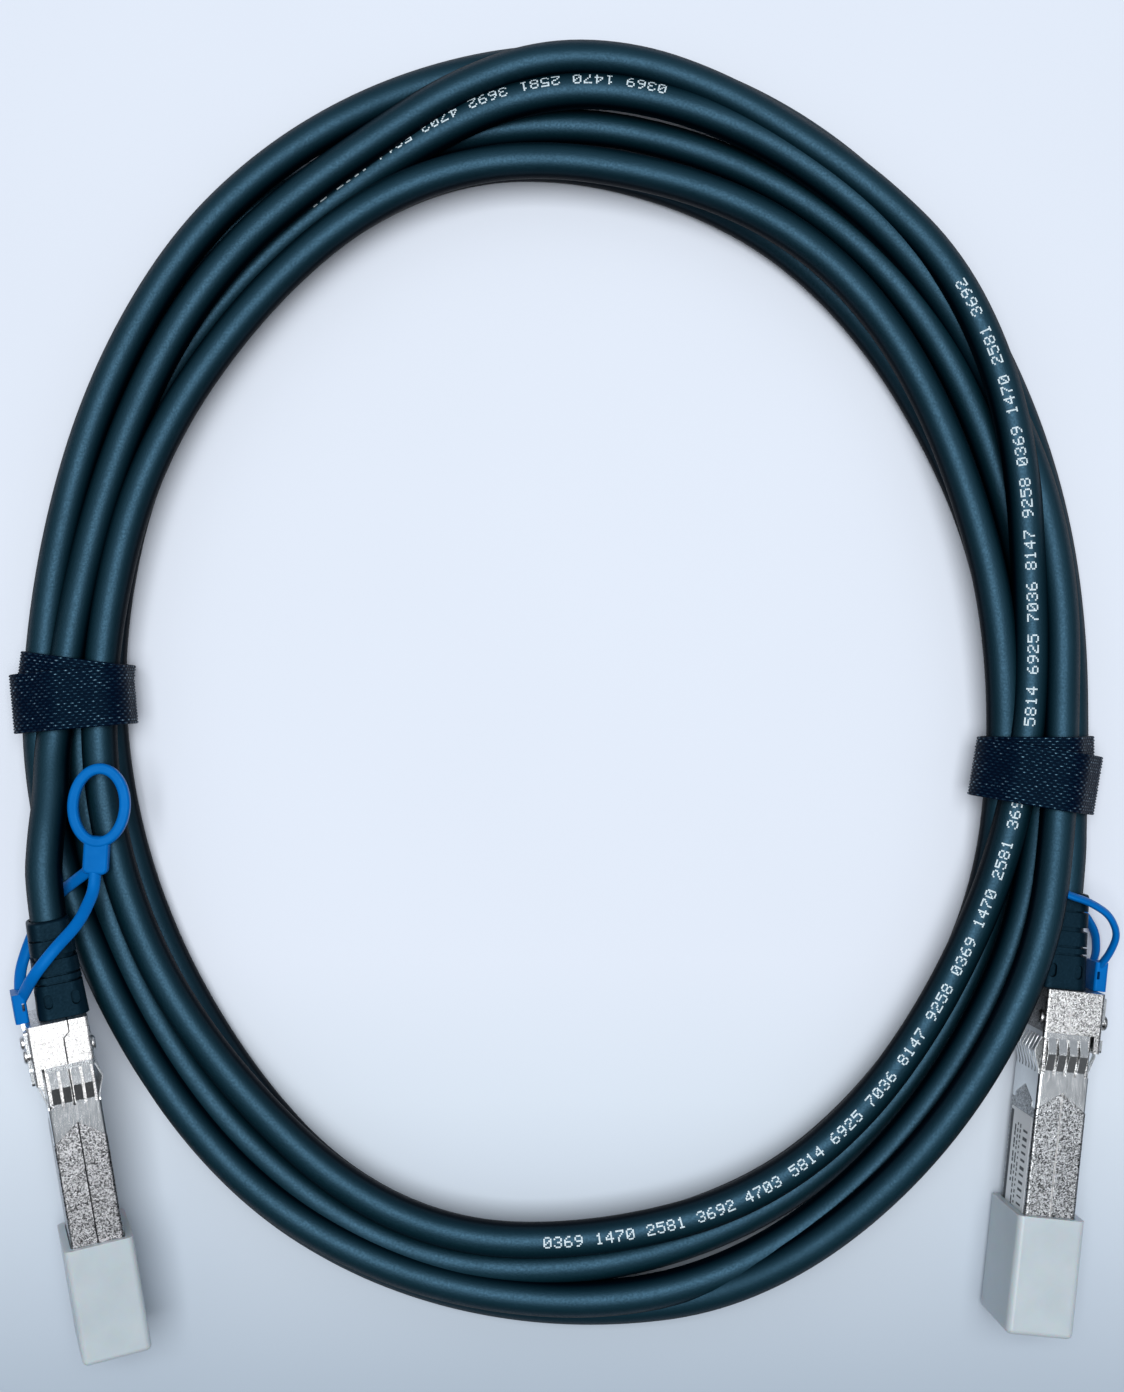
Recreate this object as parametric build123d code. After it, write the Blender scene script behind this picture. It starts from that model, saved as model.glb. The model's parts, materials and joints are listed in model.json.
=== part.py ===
"""Direct attach copper cable: a coiled twinax cord with a latching metal plug on each end.

Millimetres, +Z up. The cable lies flat on a table as it is stored: the coil is held by two
hook-and-loop straps, and each plug lies on a narrow side in front of the coil, with its dust
cap on. +X is to the right and +Y runs from the plugs' mouths towards the coil.

Each plug is built in its own axes: x from the metal's rear end (0) towards the mouth,
y across the plug's width, z from the latch side (-) to the label side (+).
"""
from build123d import *
from math import cos, pi, radians, sin, tan
import os

# Running and seating clearances
FIT_GAP = 0.05
SLIDE_GAP = 0.15
SOFT_GAP = 0.4
OVERRUN = 2.0
# Share of a bend's shorter run that its arc takes, and of a rim's height that its rounding takes
BEND_SHARE = 0.45
RIM_ROUND_SHARE = 0.8

# Die-cast plug body
BODY_LENGTH = 55.6
NOSE_WIDTH = 13.7
NOSE_HEIGHT = 8.6
NOSE_WALL = 1.1
BLOCK_WIDTH = 14.0
BLOCK_LENGTH = 7.1
BLOCK_DROP = 1.2
DROP_LENGTH = 9.9
BLOCK_WALL = 1.0
EDGE_ROUND = 0.5
MOUTH_OPENING = 10.4
MOUTH_CHAMFER = 0.4

# Seam between the upper and lower shell
SEAM_GAP = 0.12
SEAM_STEP_HEIGHT = 1.0
SEAM_STEP_START = 1.9
SEAM_STEP_LENGTH = 0.9

# Round hollow for the cord's stripped end and its crimp
REAR_HOLLOW_WIDTH = 7.6
REAR_HOLLOW_END = 9.0
CABLE_RISE = 0.85
FERRULE_LENGTH = 6.0
FERRULE_DIAMETER = 4.8
FERRULE_WALL = 0.3

# Spring-finger collar round the nose
SHEET = 0.22
COLLAR_START = 7.1
COLLAR_FRAME = 0.9
CREST_PLACE = 10.4
CREST_HEIGHT = 0.95
CREST_FLAT = 0.35
FINGER_END = 13.4
SLIT_END = 14.1
SLIT_WIDTH = 0.5
VEE_APEX = 17.0
VEE_DEPTH = 3.1
FINGERS_NARROW_SIDE = 4
FINGERS_WIDE_SIDE = 7
COLLAR_WINDOW_WIDTH = 8.2

# Latch post, release slider and its return spring
POST_PLACE = 12.4
POST_WIDTH = 2.6
POST_HEIGHT = 0.45
POST_LENGTH = 2.4
SLIDER_THICKNESS = 0.5
SLIDER_WIDTH = 12.0
SLIDER_START = 0.7
SLIDER_TRAVEL = 2.5
TONGUE_WIDTH = 3.2
TONGUE_LENGTH = 4.0
TINE_SPACING = 5.2
TINE_WIDTH = 1.3
TINE_END = 13.2
TINE_SINK = 0.5
SPRING_PITCH = 0.7
SPRING_WIRE = 0.22
SPRING_WIDTH = 1.0
SPRING_LENGTH = 5.0
SPRING_START = 1.7

# Rivets that hold the shells together and guide the slider
RIVET_PLACE = 4.9
RIVET_SPACING = 10.2
RIVET_SHANK = 1.6
RIVET_HEAD = 2.5
RIVET_HEAD_HEIGHT = 0.55

# Circuit board and what it carries
BOARD_START = 11.4
BOARD_WIDTH = 10.4
BOARD_TONGUE_WIDTH = 9.2
BOARD_THICKNESS = 1.0
BOARD_BOTTOM = -2.05
BOARD_SETBACK = 3.2
BOARD_REST_WIDTH = 1.0
CONTACT_COUNT = 10
CONTACT_PITCH = 0.8
CONTACT_WIDTH = 0.54
CONTACT_LENGTH = 3.4
CONTACT_THICKNESS = 0.08
CHIP_LENGTH = 4.9
CHIP_WIDTH = 3.9
CHIP_HEIGHT = 1.5
CHIP_PLACE = 28.0
CHIP_LEGS = 4
CHIP_LEG_PITCH = 1.27
CAPACITOR_LENGTH = 1.0
CAPACITOR_WIDTH = 0.5
CAPACITOR_COUNT = 4
CAPACITOR_PITCH = 2.2
CAPACITOR_PLACE = 40.0
PAIR_WIDTH = 1.8
PAIR_HEIGHT = 1.2
PAIR_SPACING = 2.0
# How far the pairs spread at the board, as shares of their spacing
PAIR_LANDING_SHARE = 1.3
PAIR_END_SHARE = 1.4

# Bare label plate on the wide face
LABEL_START = 21.6
LABEL_LENGTH = 27.0
LABEL_WIDTH = 11.6
LABEL_THICKNESS = 0.1
LABEL_SINK = 0.06

# Ribbed strain relief behind the metal
BOOT_LENGTH = 16.0
BOOT_FRONT_WIDTH = 9.4
BOOT_FRONT_HEIGHT = 8.2
BOOT_END_WIDTH = 7.4
BOOT_END_HEIGHT = 6.9
BOOT_ROUND = 1.9
BOOT_GROOVE_DEPTH = 0.55
BOOT_NECK_DIAMETER = 6.1
BOOT_FLANGE = 1.0
BOOT_SLOT_LENGTH = 2.4
BOOT_SLOT_WIDTH = 1.4
BOOT_SLOT_PLACE = 3.0
BOOT_SLOT_SPACING = 4.4
BOOT_SLOT_DEPTH = 1.1
# Where the grooves lie along the boot and how long each is, as shares of its length
BOOT_GROOVE_SHARES = ((0.35, 0.025), (0.43, 0.025), (0.60, 0.05), (0.80, 0.02))

# Dust cap over the mouth
CAP_START = 37.4
CAP_WALL = 1.2
CAP_ROUND = 1.1

# Pull tab: a moulded base on the slider, two arms round the boot, a web and a finger ring
TAB_BASE_LENGTH = 4.9
TAB_BASE_WIDTH = 6.0
TAB_BASE_HEIGHT = 2.2
TAB_WINDOW_LENGTH = 1.3
TAB_WINDOW_HEIGHT = 0.9
TAB_ARM_WIDTH = 2.0
TAB_ARM_THICKNESS = 1.2
TAB_THICKNESS = 1.6
TAB_ROUND = 0.5
TAB_REACH = 30.0
RING_LENGTH = 14.0
RING_WIDTH = 10.4
RING_BAND = 1.8
WEB_WIDTH = 4.2
# Arm centre lines in the plug's own axes, as shares of the reach
TAB_A_UPPER_ARM_SHARES = ((-0.130, -0.060, -0.180), (-0.265, -0.205, -0.105), (-0.395, -0.225, 0.030),
                          (-0.500, -0.160, 0.185), (-0.640, -0.050, 0.296), (-0.760, -0.030, 0.325))
TAB_A_LOWER_ARM_SHARES = ((-0.130, 0.060, -0.180), (-0.250, 0.160, -0.155), (-0.400, 0.195, -0.075),
                          (-0.540, 0.205, 0.020), (-0.640, 0.155, 0.130), (-0.705, 0.050, 0.220),
                          (-0.760, -0.020, 0.300))
TAB_A_RING_SHARES = (-1.100, -0.030, 0.400)
TAB_B_UPPER_ARM_SHARES = ((-0.130, 0.060, -0.185), (-0.225, 0.125, -0.220), (-0.335, 0.160, -0.240),
                          (-0.440, 0.180, -0.175), (-0.500, 0.185, -0.050), (-0.525, 0.180, 0.075),
                          (-0.575, 0.105, 0.180), (-0.640, -0.020, 0.255))
TAB_B_LOWER_ARM_SHARES = ((-0.130, -0.060, -0.185), (-0.200, -0.105, -0.220), (-0.310, -0.150, -0.220),
                          (-0.420, -0.180, -0.145), (-0.485, -0.185, -0.030), (-0.540, -0.160, 0.095),
                          (-0.590, -0.100, 0.190), (-0.650, -0.040, 0.250))
TAB_B_RING_SHARES = (-0.840, -0.050, 0.330)

# Where the plugs lie: place of the metal's rear end, and how each is turned, in degrees.
# Heading is measured from -Y towards +X, pitch lowers the mouth, roll leans the top outwards to +X.
PLUG_A_REAR = (-83.66, -1.5)
PLUG_A_HEADING = 8.2
PLUG_A_PITCH = 5.0
PLUG_A_ROLL = 18.0
PLUG_B_REAR = (84.34, 2.0)
PLUG_B_HEADING = -6.3
PLUG_B_PITCH = -1.2
PLUG_B_ROLL = 3.0

# Cord and coil
CABLE_DIAMETER = 6.0
COIL_CENTER = (-0.96, 53.8)
COIL_HALF_WIDTH = 90.0
COIL_HALF_LENGTH = 109.2
COIL_HEIGHT = 12.0
COIL_STEP = 20.0
# Outer and inner edge of the coil, every COIL_STEP degrees clockwise from the left
COIL_OUTER_SHARES = (1.00, 0.995, 1.00, 0.99, 0.995, 1.00, 0.995, 1.015, 1.00,
                     1.00, 0.96, 0.965, 0.985, 0.99, 1.00, 1.005, 1.00, 0.985)
COIL_INNER_SHARES = (0.805, 0.80, 0.785, 0.785, 0.785, 0.765, 0.765, 0.765, 0.79,
                     0.81, 0.83, 0.84, 0.84, 0.845, 0.85, 0.835, 0.81, 0.805)
LEAD_INSIDE = 1.0
LEAD_A_ROUTE = [(-83.005, -0.376, 14.297), (-85.776, 18.851, 15.997), (-85.66, 26.90, 15.00),
                (-85.36, 34.70, 12.20), (-85.76, 42.30, 10.00)]
LEAD_B_ROUTE = [(83.606, 3.088, 7.723), (85.745, 22.466, 7.315), (86.24, 30.30, 5.70)]

# Hook-and-loop straps: each is wound once round the bundle and once more over its top and sides.
# Angles are where they sit on the coil, skews how far each layer is turned from square, in degrees.
STRAP_WIDTH = 10.0
STRAP_THICKNESS = 1.0
STRAP_LEFT_ANGLE = -0.8
STRAP_LEFT_SKEW = 8.2
STRAP_LEFT_FLAP_SKEW = -12.4
STRAP_LEFT_FLAP_SHIFT = -1.8
STRAP_RIGHT_ANGLE = 188.5
STRAP_RIGHT_SKEW = -8.5
STRAP_RIGHT_FLAP_SKEW = 9.4
STRAP_RIGHT_FLAP_SHIFT = 1.5
# How far down the bundle's sides the second layer reaches
STRAP_TURNDOWN_SHARE = 0.6


def slab(x, y, z):
    """A box from three (low, high) pairs."""
    size = [pair[1] - pair[0] for pair in (x, y, z)]
    middle = [(pair[0] + pair[1]) / 2 for pair in (x, y, z)]
    return Pos(*middle) * Box(*size)


def rounded_bar(x, width, height, radius, rise=0):
    """A bar along x with a rounded rectangular section."""
    section = Plane.YZ.offset(x[0]) * Pos(0, rise) * RectangleRounded(width, height, radius)
    return extrude(section, x[1] - x[0])


def half(width):
    return (-width / 2, width / 2)


def rod(x, diameter, rise=0):
    """A round bar along x."""
    return extrude(Plane.YZ.offset(x[0]) * Pos(0, rise) * Circle(diameter / 2), x[1] - x[0])


def tube_along(route, section_face, upward=None):
    """A section along straight runs joined by tangent arcs, as large as the runs allow."""
    points = [Vector(*point) for point in route]
    radii = []
    for before, here, after in zip(points, points[1:], points[2:]):
        turn = radians((here - before).get_angle(after - here))
        shorter = min((here - before).length, (after - here).length)
        radii.append(BEND_SHARE * shorter / tan(turn / 2))
    path = FilletPolyline(*points, radius=radii)
    across = upward.cross(path % 0) if upward else None
    start = Plane(origin=path @ 0, x_dir=across, z_dir=path % 0)
    return sweep(start * section_face, path=path), radii, path.length


def prism_xz(points, width):
    """A profile in the plug's x-z plane, drawn out across its width."""
    return extrude(Plane.XZ * make_face(Polyline(*points, close=True)), width / 2, both=True)


# Die-cast shells

TOP = NOSE_HEIGHT / 2
BOTTOM = -NOSE_HEIGHT / 2
BLOCK_BOTTOM = BOTTOM - BLOCK_DROP
PLATE_TOP = BLOCK_BOTTOM - FIT_GAP
PLATE_BOTTOM = PLATE_TOP - SLIDER_THICKNESS
HOLLOW_HALF_HEIGHT = NOSE_HEIGHT / 2 - NOSE_WALL
BOARD_TOP = BOARD_BOTTOM + BOARD_THICKNESS
BOARD_END = BODY_LENGTH - BOARD_SETBACK


def vee_wedges(margin):
    """The four pointed tongues of casting that reach back into the collar's front edge."""
    apex = VEE_APEX + margin
    reach = VEE_DEPTH + OVERRUN
    wedges = []
    for width, turn in ((NOSE_WIDTH, 0), (NOSE_HEIGHT, 90)):
        spread = width / 2 * reach / VEE_DEPTH
        outline = make_face(Polyline((apex, 0), (apex + reach, spread), (apex + reach, -spread), close=True))
        tongue = extrude(outline, NOSE_WIDTH, both=True)
        wedges.append(Rot(turn, 0, 0) * tongue)
    return wedges


def collar_sleeve(outer_shrink, inner_shrink, start, end):
    """A square-cut sleeve round the nose between two depths below its surface."""
    outer = rounded_bar((start, end), NOSE_WIDTH - 2 * outer_shrink, NOSE_HEIGHT - 2 * outer_shrink,
                        EDGE_ROUND)
    inner = rounded_bar((start - OVERRUN, end + OVERRUN), NOSE_WIDTH - 2 * inner_shrink,
                        NOSE_HEIGHT - 2 * inner_shrink, EDGE_ROUND / 2)
    return outer - inner


def notched_front(sleeve_of, margin):
    """A sleeve whose front edge is cut back to a vee in the middle of each side."""
    end = VEE_APEX + VEE_DEPTH
    narrow_cut, wide_cut = vee_wedges(margin)
    sides = half(NOSE_WIDTH - NOSE_HEIGHT / 2)
    faces = slab((0, end + OVERRUN), sides, half(NOSE_WIDTH))
    sleeve = sleeve_of(end)
    flat_faces = (sleeve & faces) - narrow_cut
    side_faces = (sleeve - faces) - wide_cut
    return flat_faces + side_faces


def plug_casting():
    """Outside of both shells in one piece, with the collar's seat and all rear hollows."""
    sink = SHEET + 2 * FIT_GAP
    nose = rounded_bar((0, BODY_LENGTH), NOSE_WIDTH, NOSE_HEIGHT, EDGE_ROUND)
    nose = chamfer(nose.faces().sort_by(Axis.X)[-1].edges(), MOUTH_CHAMFER)
    middle = (TOP + BLOCK_BOTTOM) / 2
    block = rounded_bar((0, BLOCK_LENGTH), BLOCK_WIDTH, TOP - BLOCK_BOTTOM, EDGE_ROUND, middle)
    drop = slab((0, DROP_LENGTH), half(BLOCK_WIDTH), (BLOCK_BOTTOM, BOTTOM))
    drop = fillet(drop.edges().filter_by(Axis.X).group_by(Axis.Z)[0], EDGE_ROUND)
    seat = notched_front(lambda end: collar_sleeve(-OVERRUN, sink, COLLAR_START, end), -FIT_GAP)
    body = block + (nose - seat) + drop
    hollow = slab((BOARD_START - SLIDE_GAP, BODY_LENGTH + OVERRUN), half(NOSE_WIDTH - 2 * NOSE_WALL),
                  half(2 * HOLLOW_HALF_HEIGHT))
    throat = slab((REAR_HOLLOW_END, BOARD_START), half(BOARD_TONGUE_WIDTH), half(2 * HOLLOW_HALF_HEIGHT))
    rear = slab((BLOCK_WALL, REAR_HOLLOW_END), half(REAR_HOLLOW_WIDTH),
                (-HOLLOW_HALF_HEIGHT + NOSE_WALL / 2, TOP - BLOCK_WALL + FIT_GAP))
    neck = rod((-OVERRUN, BLOCK_WALL + FIT_GAP), BOOT_NECK_DIAMETER + 2 * FIT_GAP, CABLE_RISE)
    body -= hollow + throat + rear + neck
    for side in (-1, 1):
        hole = Cylinder(RIVET_SHANK / 2 + FIT_GAP, 4 * NOSE_HEIGHT)
        body -= Pos(RIVET_PLACE, side * RIVET_SPACING / 2, 0) * hole
    return body


def seam_profile(offset, towards):
    """Region of the x-z plane on one side of the stepped seam."""
    step_top = SEAM_STEP_HEIGHT + offset
    end = BODY_LENGTH + OVERRUN
    seam = [(-OVERRUN, step_top), (SEAM_STEP_START, step_top),
            (SEAM_STEP_START + SEAM_STEP_LENGTH, offset), (end, offset)]
    far = towards * 2 * NOSE_HEIGHT
    return prism_xz(seam + [(end, far), (-OVERRUN, far)], 2 * BLOCK_WIDTH)


def upper_shell(casting):
    """Label-side shell with its hold-down posts and the seat of the label."""
    shell = casting & seam_profile(SEAM_GAP / 2, 1)
    post_half = NOSE_WIDTH / 2 - NOSE_WALL
    for place in (BOARD_START + BOARD_THICKNESS, CHIP_PLACE, CAPACITOR_PLACE):
        for side in (-1, 1):
            ends = sorted((side * post_half, side * (post_half - BOARD_REST_WIDTH)))
            shell += slab((place, place + BOARD_REST_WIDTH), ends, (BOARD_TOP + FIT_GAP, HOLLOW_HALF_HEIGHT))
    seat = slab((LABEL_START - FIT_GAP, LABEL_START + LABEL_LENGTH + FIT_GAP),
                half(LABEL_WIDTH + 2 * FIT_GAP), (TOP - LABEL_SINK, TOP + OVERRUN))
    return shell - seat


def slider_slots():
    """Grooves in the latch side: two for the slider's tines and one for its spring."""
    leg = DROP_LENGTH - 2 * SLIDER_THICKNESS
    slots = []
    for side in (-1, 1):
        middle = side * TINE_SPACING / 2
        across = (middle - TINE_WIDTH / 2 - SLIDE_GAP, middle + TINE_WIDTH / 2 + SLIDE_GAP)
        slots.append(slab((leg - SLIDER_TRAVEL - SLIDE_GAP, TINE_END + OVERRUN), across,
                          (BLOCK_BOTTOM - OVERRUN, BOTTOM + TINE_SINK + FIT_GAP)))
    slots.append(slab((SPRING_START - SLIDE_GAP, SPRING_START + SPRING_LENGTH + 2 * SPRING_WIRE + SLIDE_GAP),
                      half(SPRING_WIDTH + 2 * SLIDE_GAP), (BLOCK_BOTTOM - OVERRUN, BOTTOM)))
    return slots


def lower_shell(casting):
    """Latch-side shell: board rails, open mouth floor, latch post and slider grooves."""
    shell = casting & seam_profile(-SEAM_GAP / 2, -1)
    shell -= slab((BODY_LENGTH - MOUTH_OPENING, BODY_LENGTH + OVERRUN),
                  half(BOARD_TONGUE_WIDTH + 2 * SLIDE_GAP), (BOTTOM - OVERRUN, BOARD_BOTTOM))
    rail_half = NOSE_WIDTH / 2 - NOSE_WALL
    for side in (-1, 1):
        ends = sorted((side * rail_half, side * (rail_half - BOARD_REST_WIDTH)))
        shell += slab((BOARD_START, BODY_LENGTH - MOUTH_OPENING), ends,
                      (-HOLLOW_HALF_HEIGHT, BOARD_BOTTOM - FIT_GAP))
    for slot in slider_slots():
        shell -= slot
    under = BOTTOM + SHEET + 2 * FIT_GAP
    post_start, post_end = (POST_PLACE + edge for edge in half(POST_LENGTH))
    post = prism_xz([(post_start, under), (post_start, BOTTOM - POST_HEIGHT), (post_end, under)], POST_WIDTH)
    return shell + post


# Spring-finger collar

def collar_fingers(side_width, count, surface):
    """A row of bent strips that bridge from the frame to the plate, along +surface."""
    crest = surface + CREST_HEIGHT
    start = COLLAR_START + COLLAR_FRAME - SLIT_WIDTH / 2
    upper = [(start, surface), (COLLAR_START + COLLAR_FRAME, surface), (CREST_PLACE - CREST_FLAT / 2, crest),
             (CREST_PLACE + CREST_FLAT / 2, crest), (FINGER_END, surface), (SLIT_END + SLIT_WIDTH, surface)]
    lower = [(x, z - SHEET) for x, z in reversed(upper)]
    pitch = side_width / count
    strips = []
    for index in range(count):
        middle = (index - (count - 1) / 2) * pitch
        strip = prism_xz(upper + lower, pitch - SLIT_WIDTH)
        strips.append((middle, Pos(0, middle, 0) * strip))
    return strips


def emi_collar():
    """One stamped sheet folded round the nose: rear frame, fingers and pointed front plate."""
    outer = FIT_GAP
    inner = FIT_GAP + SHEET
    frame = collar_sleeve(outer, inner, COLLAR_START + FIT_GAP, COLLAR_START + COLLAR_FRAME)
    plate = notched_front(lambda end: collar_sleeve(outer, inner, SLIT_END, end - FIT_GAP), -2 * FIT_GAP)
    collar = frame + plate
    flat_width = NOSE_WIDTH - 2 * EDGE_ROUND - 2 * SHEET
    flat_height = NOSE_HEIGHT - 2 * EDGE_ROUND - 2 * SHEET
    wide = collar_fingers(flat_width, FINGERS_WIDE_SIDE, NOSE_HEIGHT / 2 - outer)
    narrow = collar_fingers(flat_height, FINGERS_NARROW_SIDE, NOSE_WIDTH / 2 - outer)
    for _, strip in wide:
        collar += strip
    for turn in (90, -90):
        for _, strip in narrow:
            collar += Rot(turn, 0, 0) * strip
    for middle, strip in wide:
        if abs(middle) > COLLAR_WINDOW_WIDTH / 2:
            collar += Rot(180, 0, 0) * strip
    frame_window = slab((0, DROP_LENGTH + 2 * FIT_GAP), half(2 * BLOCK_WIDTH),
                        (BOTTOM - OVERRUN, BOTTOM + EDGE_ROUND + SHEET))
    latch_window = slab((0, SLIT_END + SLIT_WIDTH), half(COLLAR_WINDOW_WIDTH),
                        (BOTTOM - OVERRUN, BOTTOM + TINE_SINK + SHEET))
    return collar - frame_window - latch_window


# Release slider, spring, rivets

def latch_slider():
    """Stamped plate under the block: rivet slots, rear tongue, spring lug and two tines."""
    reach = DROP_LENGTH
    plate = slab((SLIDER_START, reach), half(SLIDER_WIDTH), (PLATE_BOTTOM, PLATE_TOP))
    plate = fillet(plate.edges().filter_by(Axis.Z), EDGE_ROUND)
    plate += slab((-TONGUE_LENGTH, SLIDER_START), half(TONGUE_WIDTH), (PLATE_BOTTOM, PLATE_TOP))
    slot_half = RIVET_SHANK / 2 + SLIDE_GAP
    for side in (-1, 1):
        slot = slab((RIVET_PLACE, RIVET_PLACE + SLIDER_TRAVEL),
                    (side * RIVET_SPACING / 2 - slot_half, side * RIVET_SPACING / 2 + slot_half),
                    (PLATE_BOTTOM - OVERRUN, PLATE_TOP + OVERRUN))
        plate -= slot
        for end in (RIVET_PLACE, RIVET_PLACE + SLIDER_TRAVEL):
            plate -= Pos(end, side * RIVET_SPACING / 2, PLATE_TOP) * Cylinder(slot_half, 2 * OVERRUN)
        leg_start = reach - SLIDER_THICKNESS
        tine_bottom = BOTTOM + TINE_SINK - SLIDER_THICKNESS
        profile = [(leg_start, PLATE_BOTTOM), (reach, PLATE_BOTTOM), (reach, tine_bottom),
                   (TINE_END, tine_bottom), (TINE_END, BOTTOM + TINE_SINK), (leg_start, BOTTOM + TINE_SINK)]
        plate += Pos(0, side * TINE_SPACING / 2, 0) * prism_xz(profile, TINE_WIDTH)
    lug_start = SPRING_START + SPRING_LENGTH
    plate += slab((lug_start, lug_start + 2 * SPRING_WIRE), half(SPRING_WIDTH),
                  (PLATE_TOP - FIT_GAP, BOTTOM - SLIDE_GAP))
    return plate


def return_spring():
    """Flat serpentine spring in the groove between the block and the slider's lug."""
    folds = int(SPRING_LENGTH / SPRING_PITCH)
    height = (BLOCK_BOTTOM + FIT_GAP, BOTTOM - SLIDE_GAP)
    reach = (SPRING_WIDTH - SPRING_WIRE) / 2
    step = (SPRING_LENGTH - 2 * FIT_GAP - SPRING_WIRE) / folds
    spring = None
    for index in range(folds + 1):
        x = SPRING_START + FIT_GAP + SPRING_WIRE / 2 + index * step
        bar = slab((x - SPRING_WIRE / 2, x + SPRING_WIRE / 2), half(SPRING_WIDTH), height)
        spring = bar if spring is None else spring + bar
        if index < folds:
            side = reach if index % 2 else -reach
            spring += slab((x, x + step), (side - SPRING_WIRE / 2, side + SPRING_WIRE / 2), height)
    return spring


def housing_rivets():
    """Two headed pins through both shells; their latch-side heads keep the slider on."""
    pins = []
    for side in (-1, 1):
        head_top = PLATE_BOTTOM - FIT_GAP
        pin = Pos(0, 0, (head_top + TOP) / 2) * Cylinder(RIVET_SHANK / 2, TOP - head_top)
        for level, direction in ((head_top, -1), (TOP + FIT_GAP, 1)):
            middle = level + direction * RIVET_HEAD_HEIGHT / 2
            head = Pos(0, 0, middle) * Cylinder(RIVET_HEAD / 2, RIVET_HEAD_HEIGHT)
            rim = head.faces().sort_by(Axis.Z)[-1 if direction > 0 else 0].edges()
            pin += fillet(rim, RIVET_HEAD_HEIGHT * RIM_ROUND_SHARE)
        pin += Pos(0, 0, TOP) * Cylinder(RIVET_SHANK / 2, 2 * FIT_GAP)
        pins.append(Pos(RIVET_PLACE, side * RIVET_SPACING / 2, 0) * pin)
    return Compound(pins)


# Inside the shells

def paddle_card():
    """Circuit board: wide between the rails, narrow tongue with a bevelled front edge."""
    wide_end = BODY_LENGTH - MOUTH_OPENING
    board = slab((BOARD_START, wide_end), half(BOARD_WIDTH), (BOARD_BOTTOM, BOARD_TOP))
    tongue = slab((BOARD_START, BOARD_END), half(BOARD_TONGUE_WIDTH), (BOARD_BOTTOM, BOARD_TOP))
    tongue = chamfer(tongue.faces().sort_by(Axis.X)[-1].edges().filter_by(Axis.Y), BOARD_THICKNESS / 4)
    return board + tongue


def contact_pads():
    """Gold fingers on both faces of the tongue."""
    pads = []
    start = BOARD_END - BOARD_THICKNESS / 2 - CONTACT_LENGTH
    along = (start, start + CONTACT_LENGTH)
    levels = ((BOARD_TOP, BOARD_TOP + CONTACT_THICKNESS), (BOARD_BOTTOM - CONTACT_THICKNESS, BOARD_BOTTOM))
    for index in range(CONTACT_COUNT):
        middle = (index - (CONTACT_COUNT - 1) / 2) * CONTACT_PITCH
        across = (middle - CONTACT_WIDTH / 2, middle + CONTACT_WIDTH / 2)
        pads += [slab(along, across, faces) for faces in levels]
    return Compound(pads)


def memory_chip():
    """Eight-legged chip that stores the cable's data."""
    body_half = CHIP_WIDTH / 2
    standoff = CHIP_HEIGHT / 8
    body = slab((CHIP_PLACE - CHIP_LENGTH / 2, CHIP_PLACE + CHIP_LENGTH / 2), half(CHIP_WIDTH),
                (BOARD_TOP + standoff, BOARD_TOP + CHIP_HEIGHT))
    body = chamfer(body.edges().group_by(Axis.Z)[-1], standoff)
    lead = CHIP_LEG_PITCH / 3
    for index in range(CHIP_LEGS):
        x = CHIP_PLACE + (index - (CHIP_LEGS - 1) / 2) * CHIP_LEG_PITCH
        body += slab((x - lead / 2, x + lead / 2), half(CHIP_WIDTH + 4 * lead),
                     (BOARD_TOP, BOARD_TOP + 2 * standoff))
    return body


def coupling_capacitors():
    """Four small blocks in the signal lines, behind the gold fingers."""
    blocks = []
    for index in range(CAPACITOR_COUNT):
        middle = (index - (CAPACITOR_COUNT - 1) / 2) * CAPACITOR_PITCH
        block = slab((CAPACITOR_PLACE, CAPACITOR_PLACE + CAPACITOR_LENGTH),
                     (middle - CAPACITOR_WIDTH / 2, middle + CAPACITOR_WIDTH / 2),
                     (BOARD_TOP, BOARD_TOP + CAPACITOR_WIDTH))
        blocks.append(block)
    return Compound(blocks)


def crimp_ferrule():
    """Round sleeve crimped on the cord's stripped end inside the boot's neck."""
    start = -LEAD_INSIDE + FIT_GAP
    outer = rod((start, start + FERRULE_LENGTH), FERRULE_DIAMETER, CABLE_RISE)
    bore = rod((start - OVERRUN, start + FERRULE_LENGTH + OVERRUN), FERRULE_DIAMETER - 2 * FERRULE_WALL,
               CABLE_RISE)
    return outer - bore


def twinax_pairs():
    """The cord's two shielded pairs, from the ferrule down to the board's rear pads."""
    section = SlotOverall(PAIR_WIDTH, PAIR_HEIGHT, rotation=90)
    landing = BOARD_TOP + PAIR_HEIGHT / 2 + FIT_GAP / 2
    pairs = []
    for side in (-1, 1):
        y = side * PAIR_SPACING / 2
        route = [(-LEAD_INSIDE + 2 * FIT_GAP, y, CABLE_RISE), (FERRULE_LENGTH, y, CABLE_RISE),
                 (BOARD_START + PAIR_WIDTH, PAIR_LANDING_SHARE * y, landing),
                 (BOARD_START + 3 * PAIR_WIDTH, PAIR_END_SHARE * y, landing)]
        pairs.append(tube_along(route, section)[0])
    return Compound(pairs)


def label_plate():
    """Bare plate in a shallow seat on the wide face."""
    plate = slab((LABEL_START, LABEL_START + LABEL_LENGTH), half(LABEL_WIDTH),
                 (TOP - LABEL_SINK, TOP - LABEL_SINK + LABEL_THICKNESS))
    return fillet(plate.edges().filter_by(Axis.Z), EDGE_ROUND)


# Strain relief and cap

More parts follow.
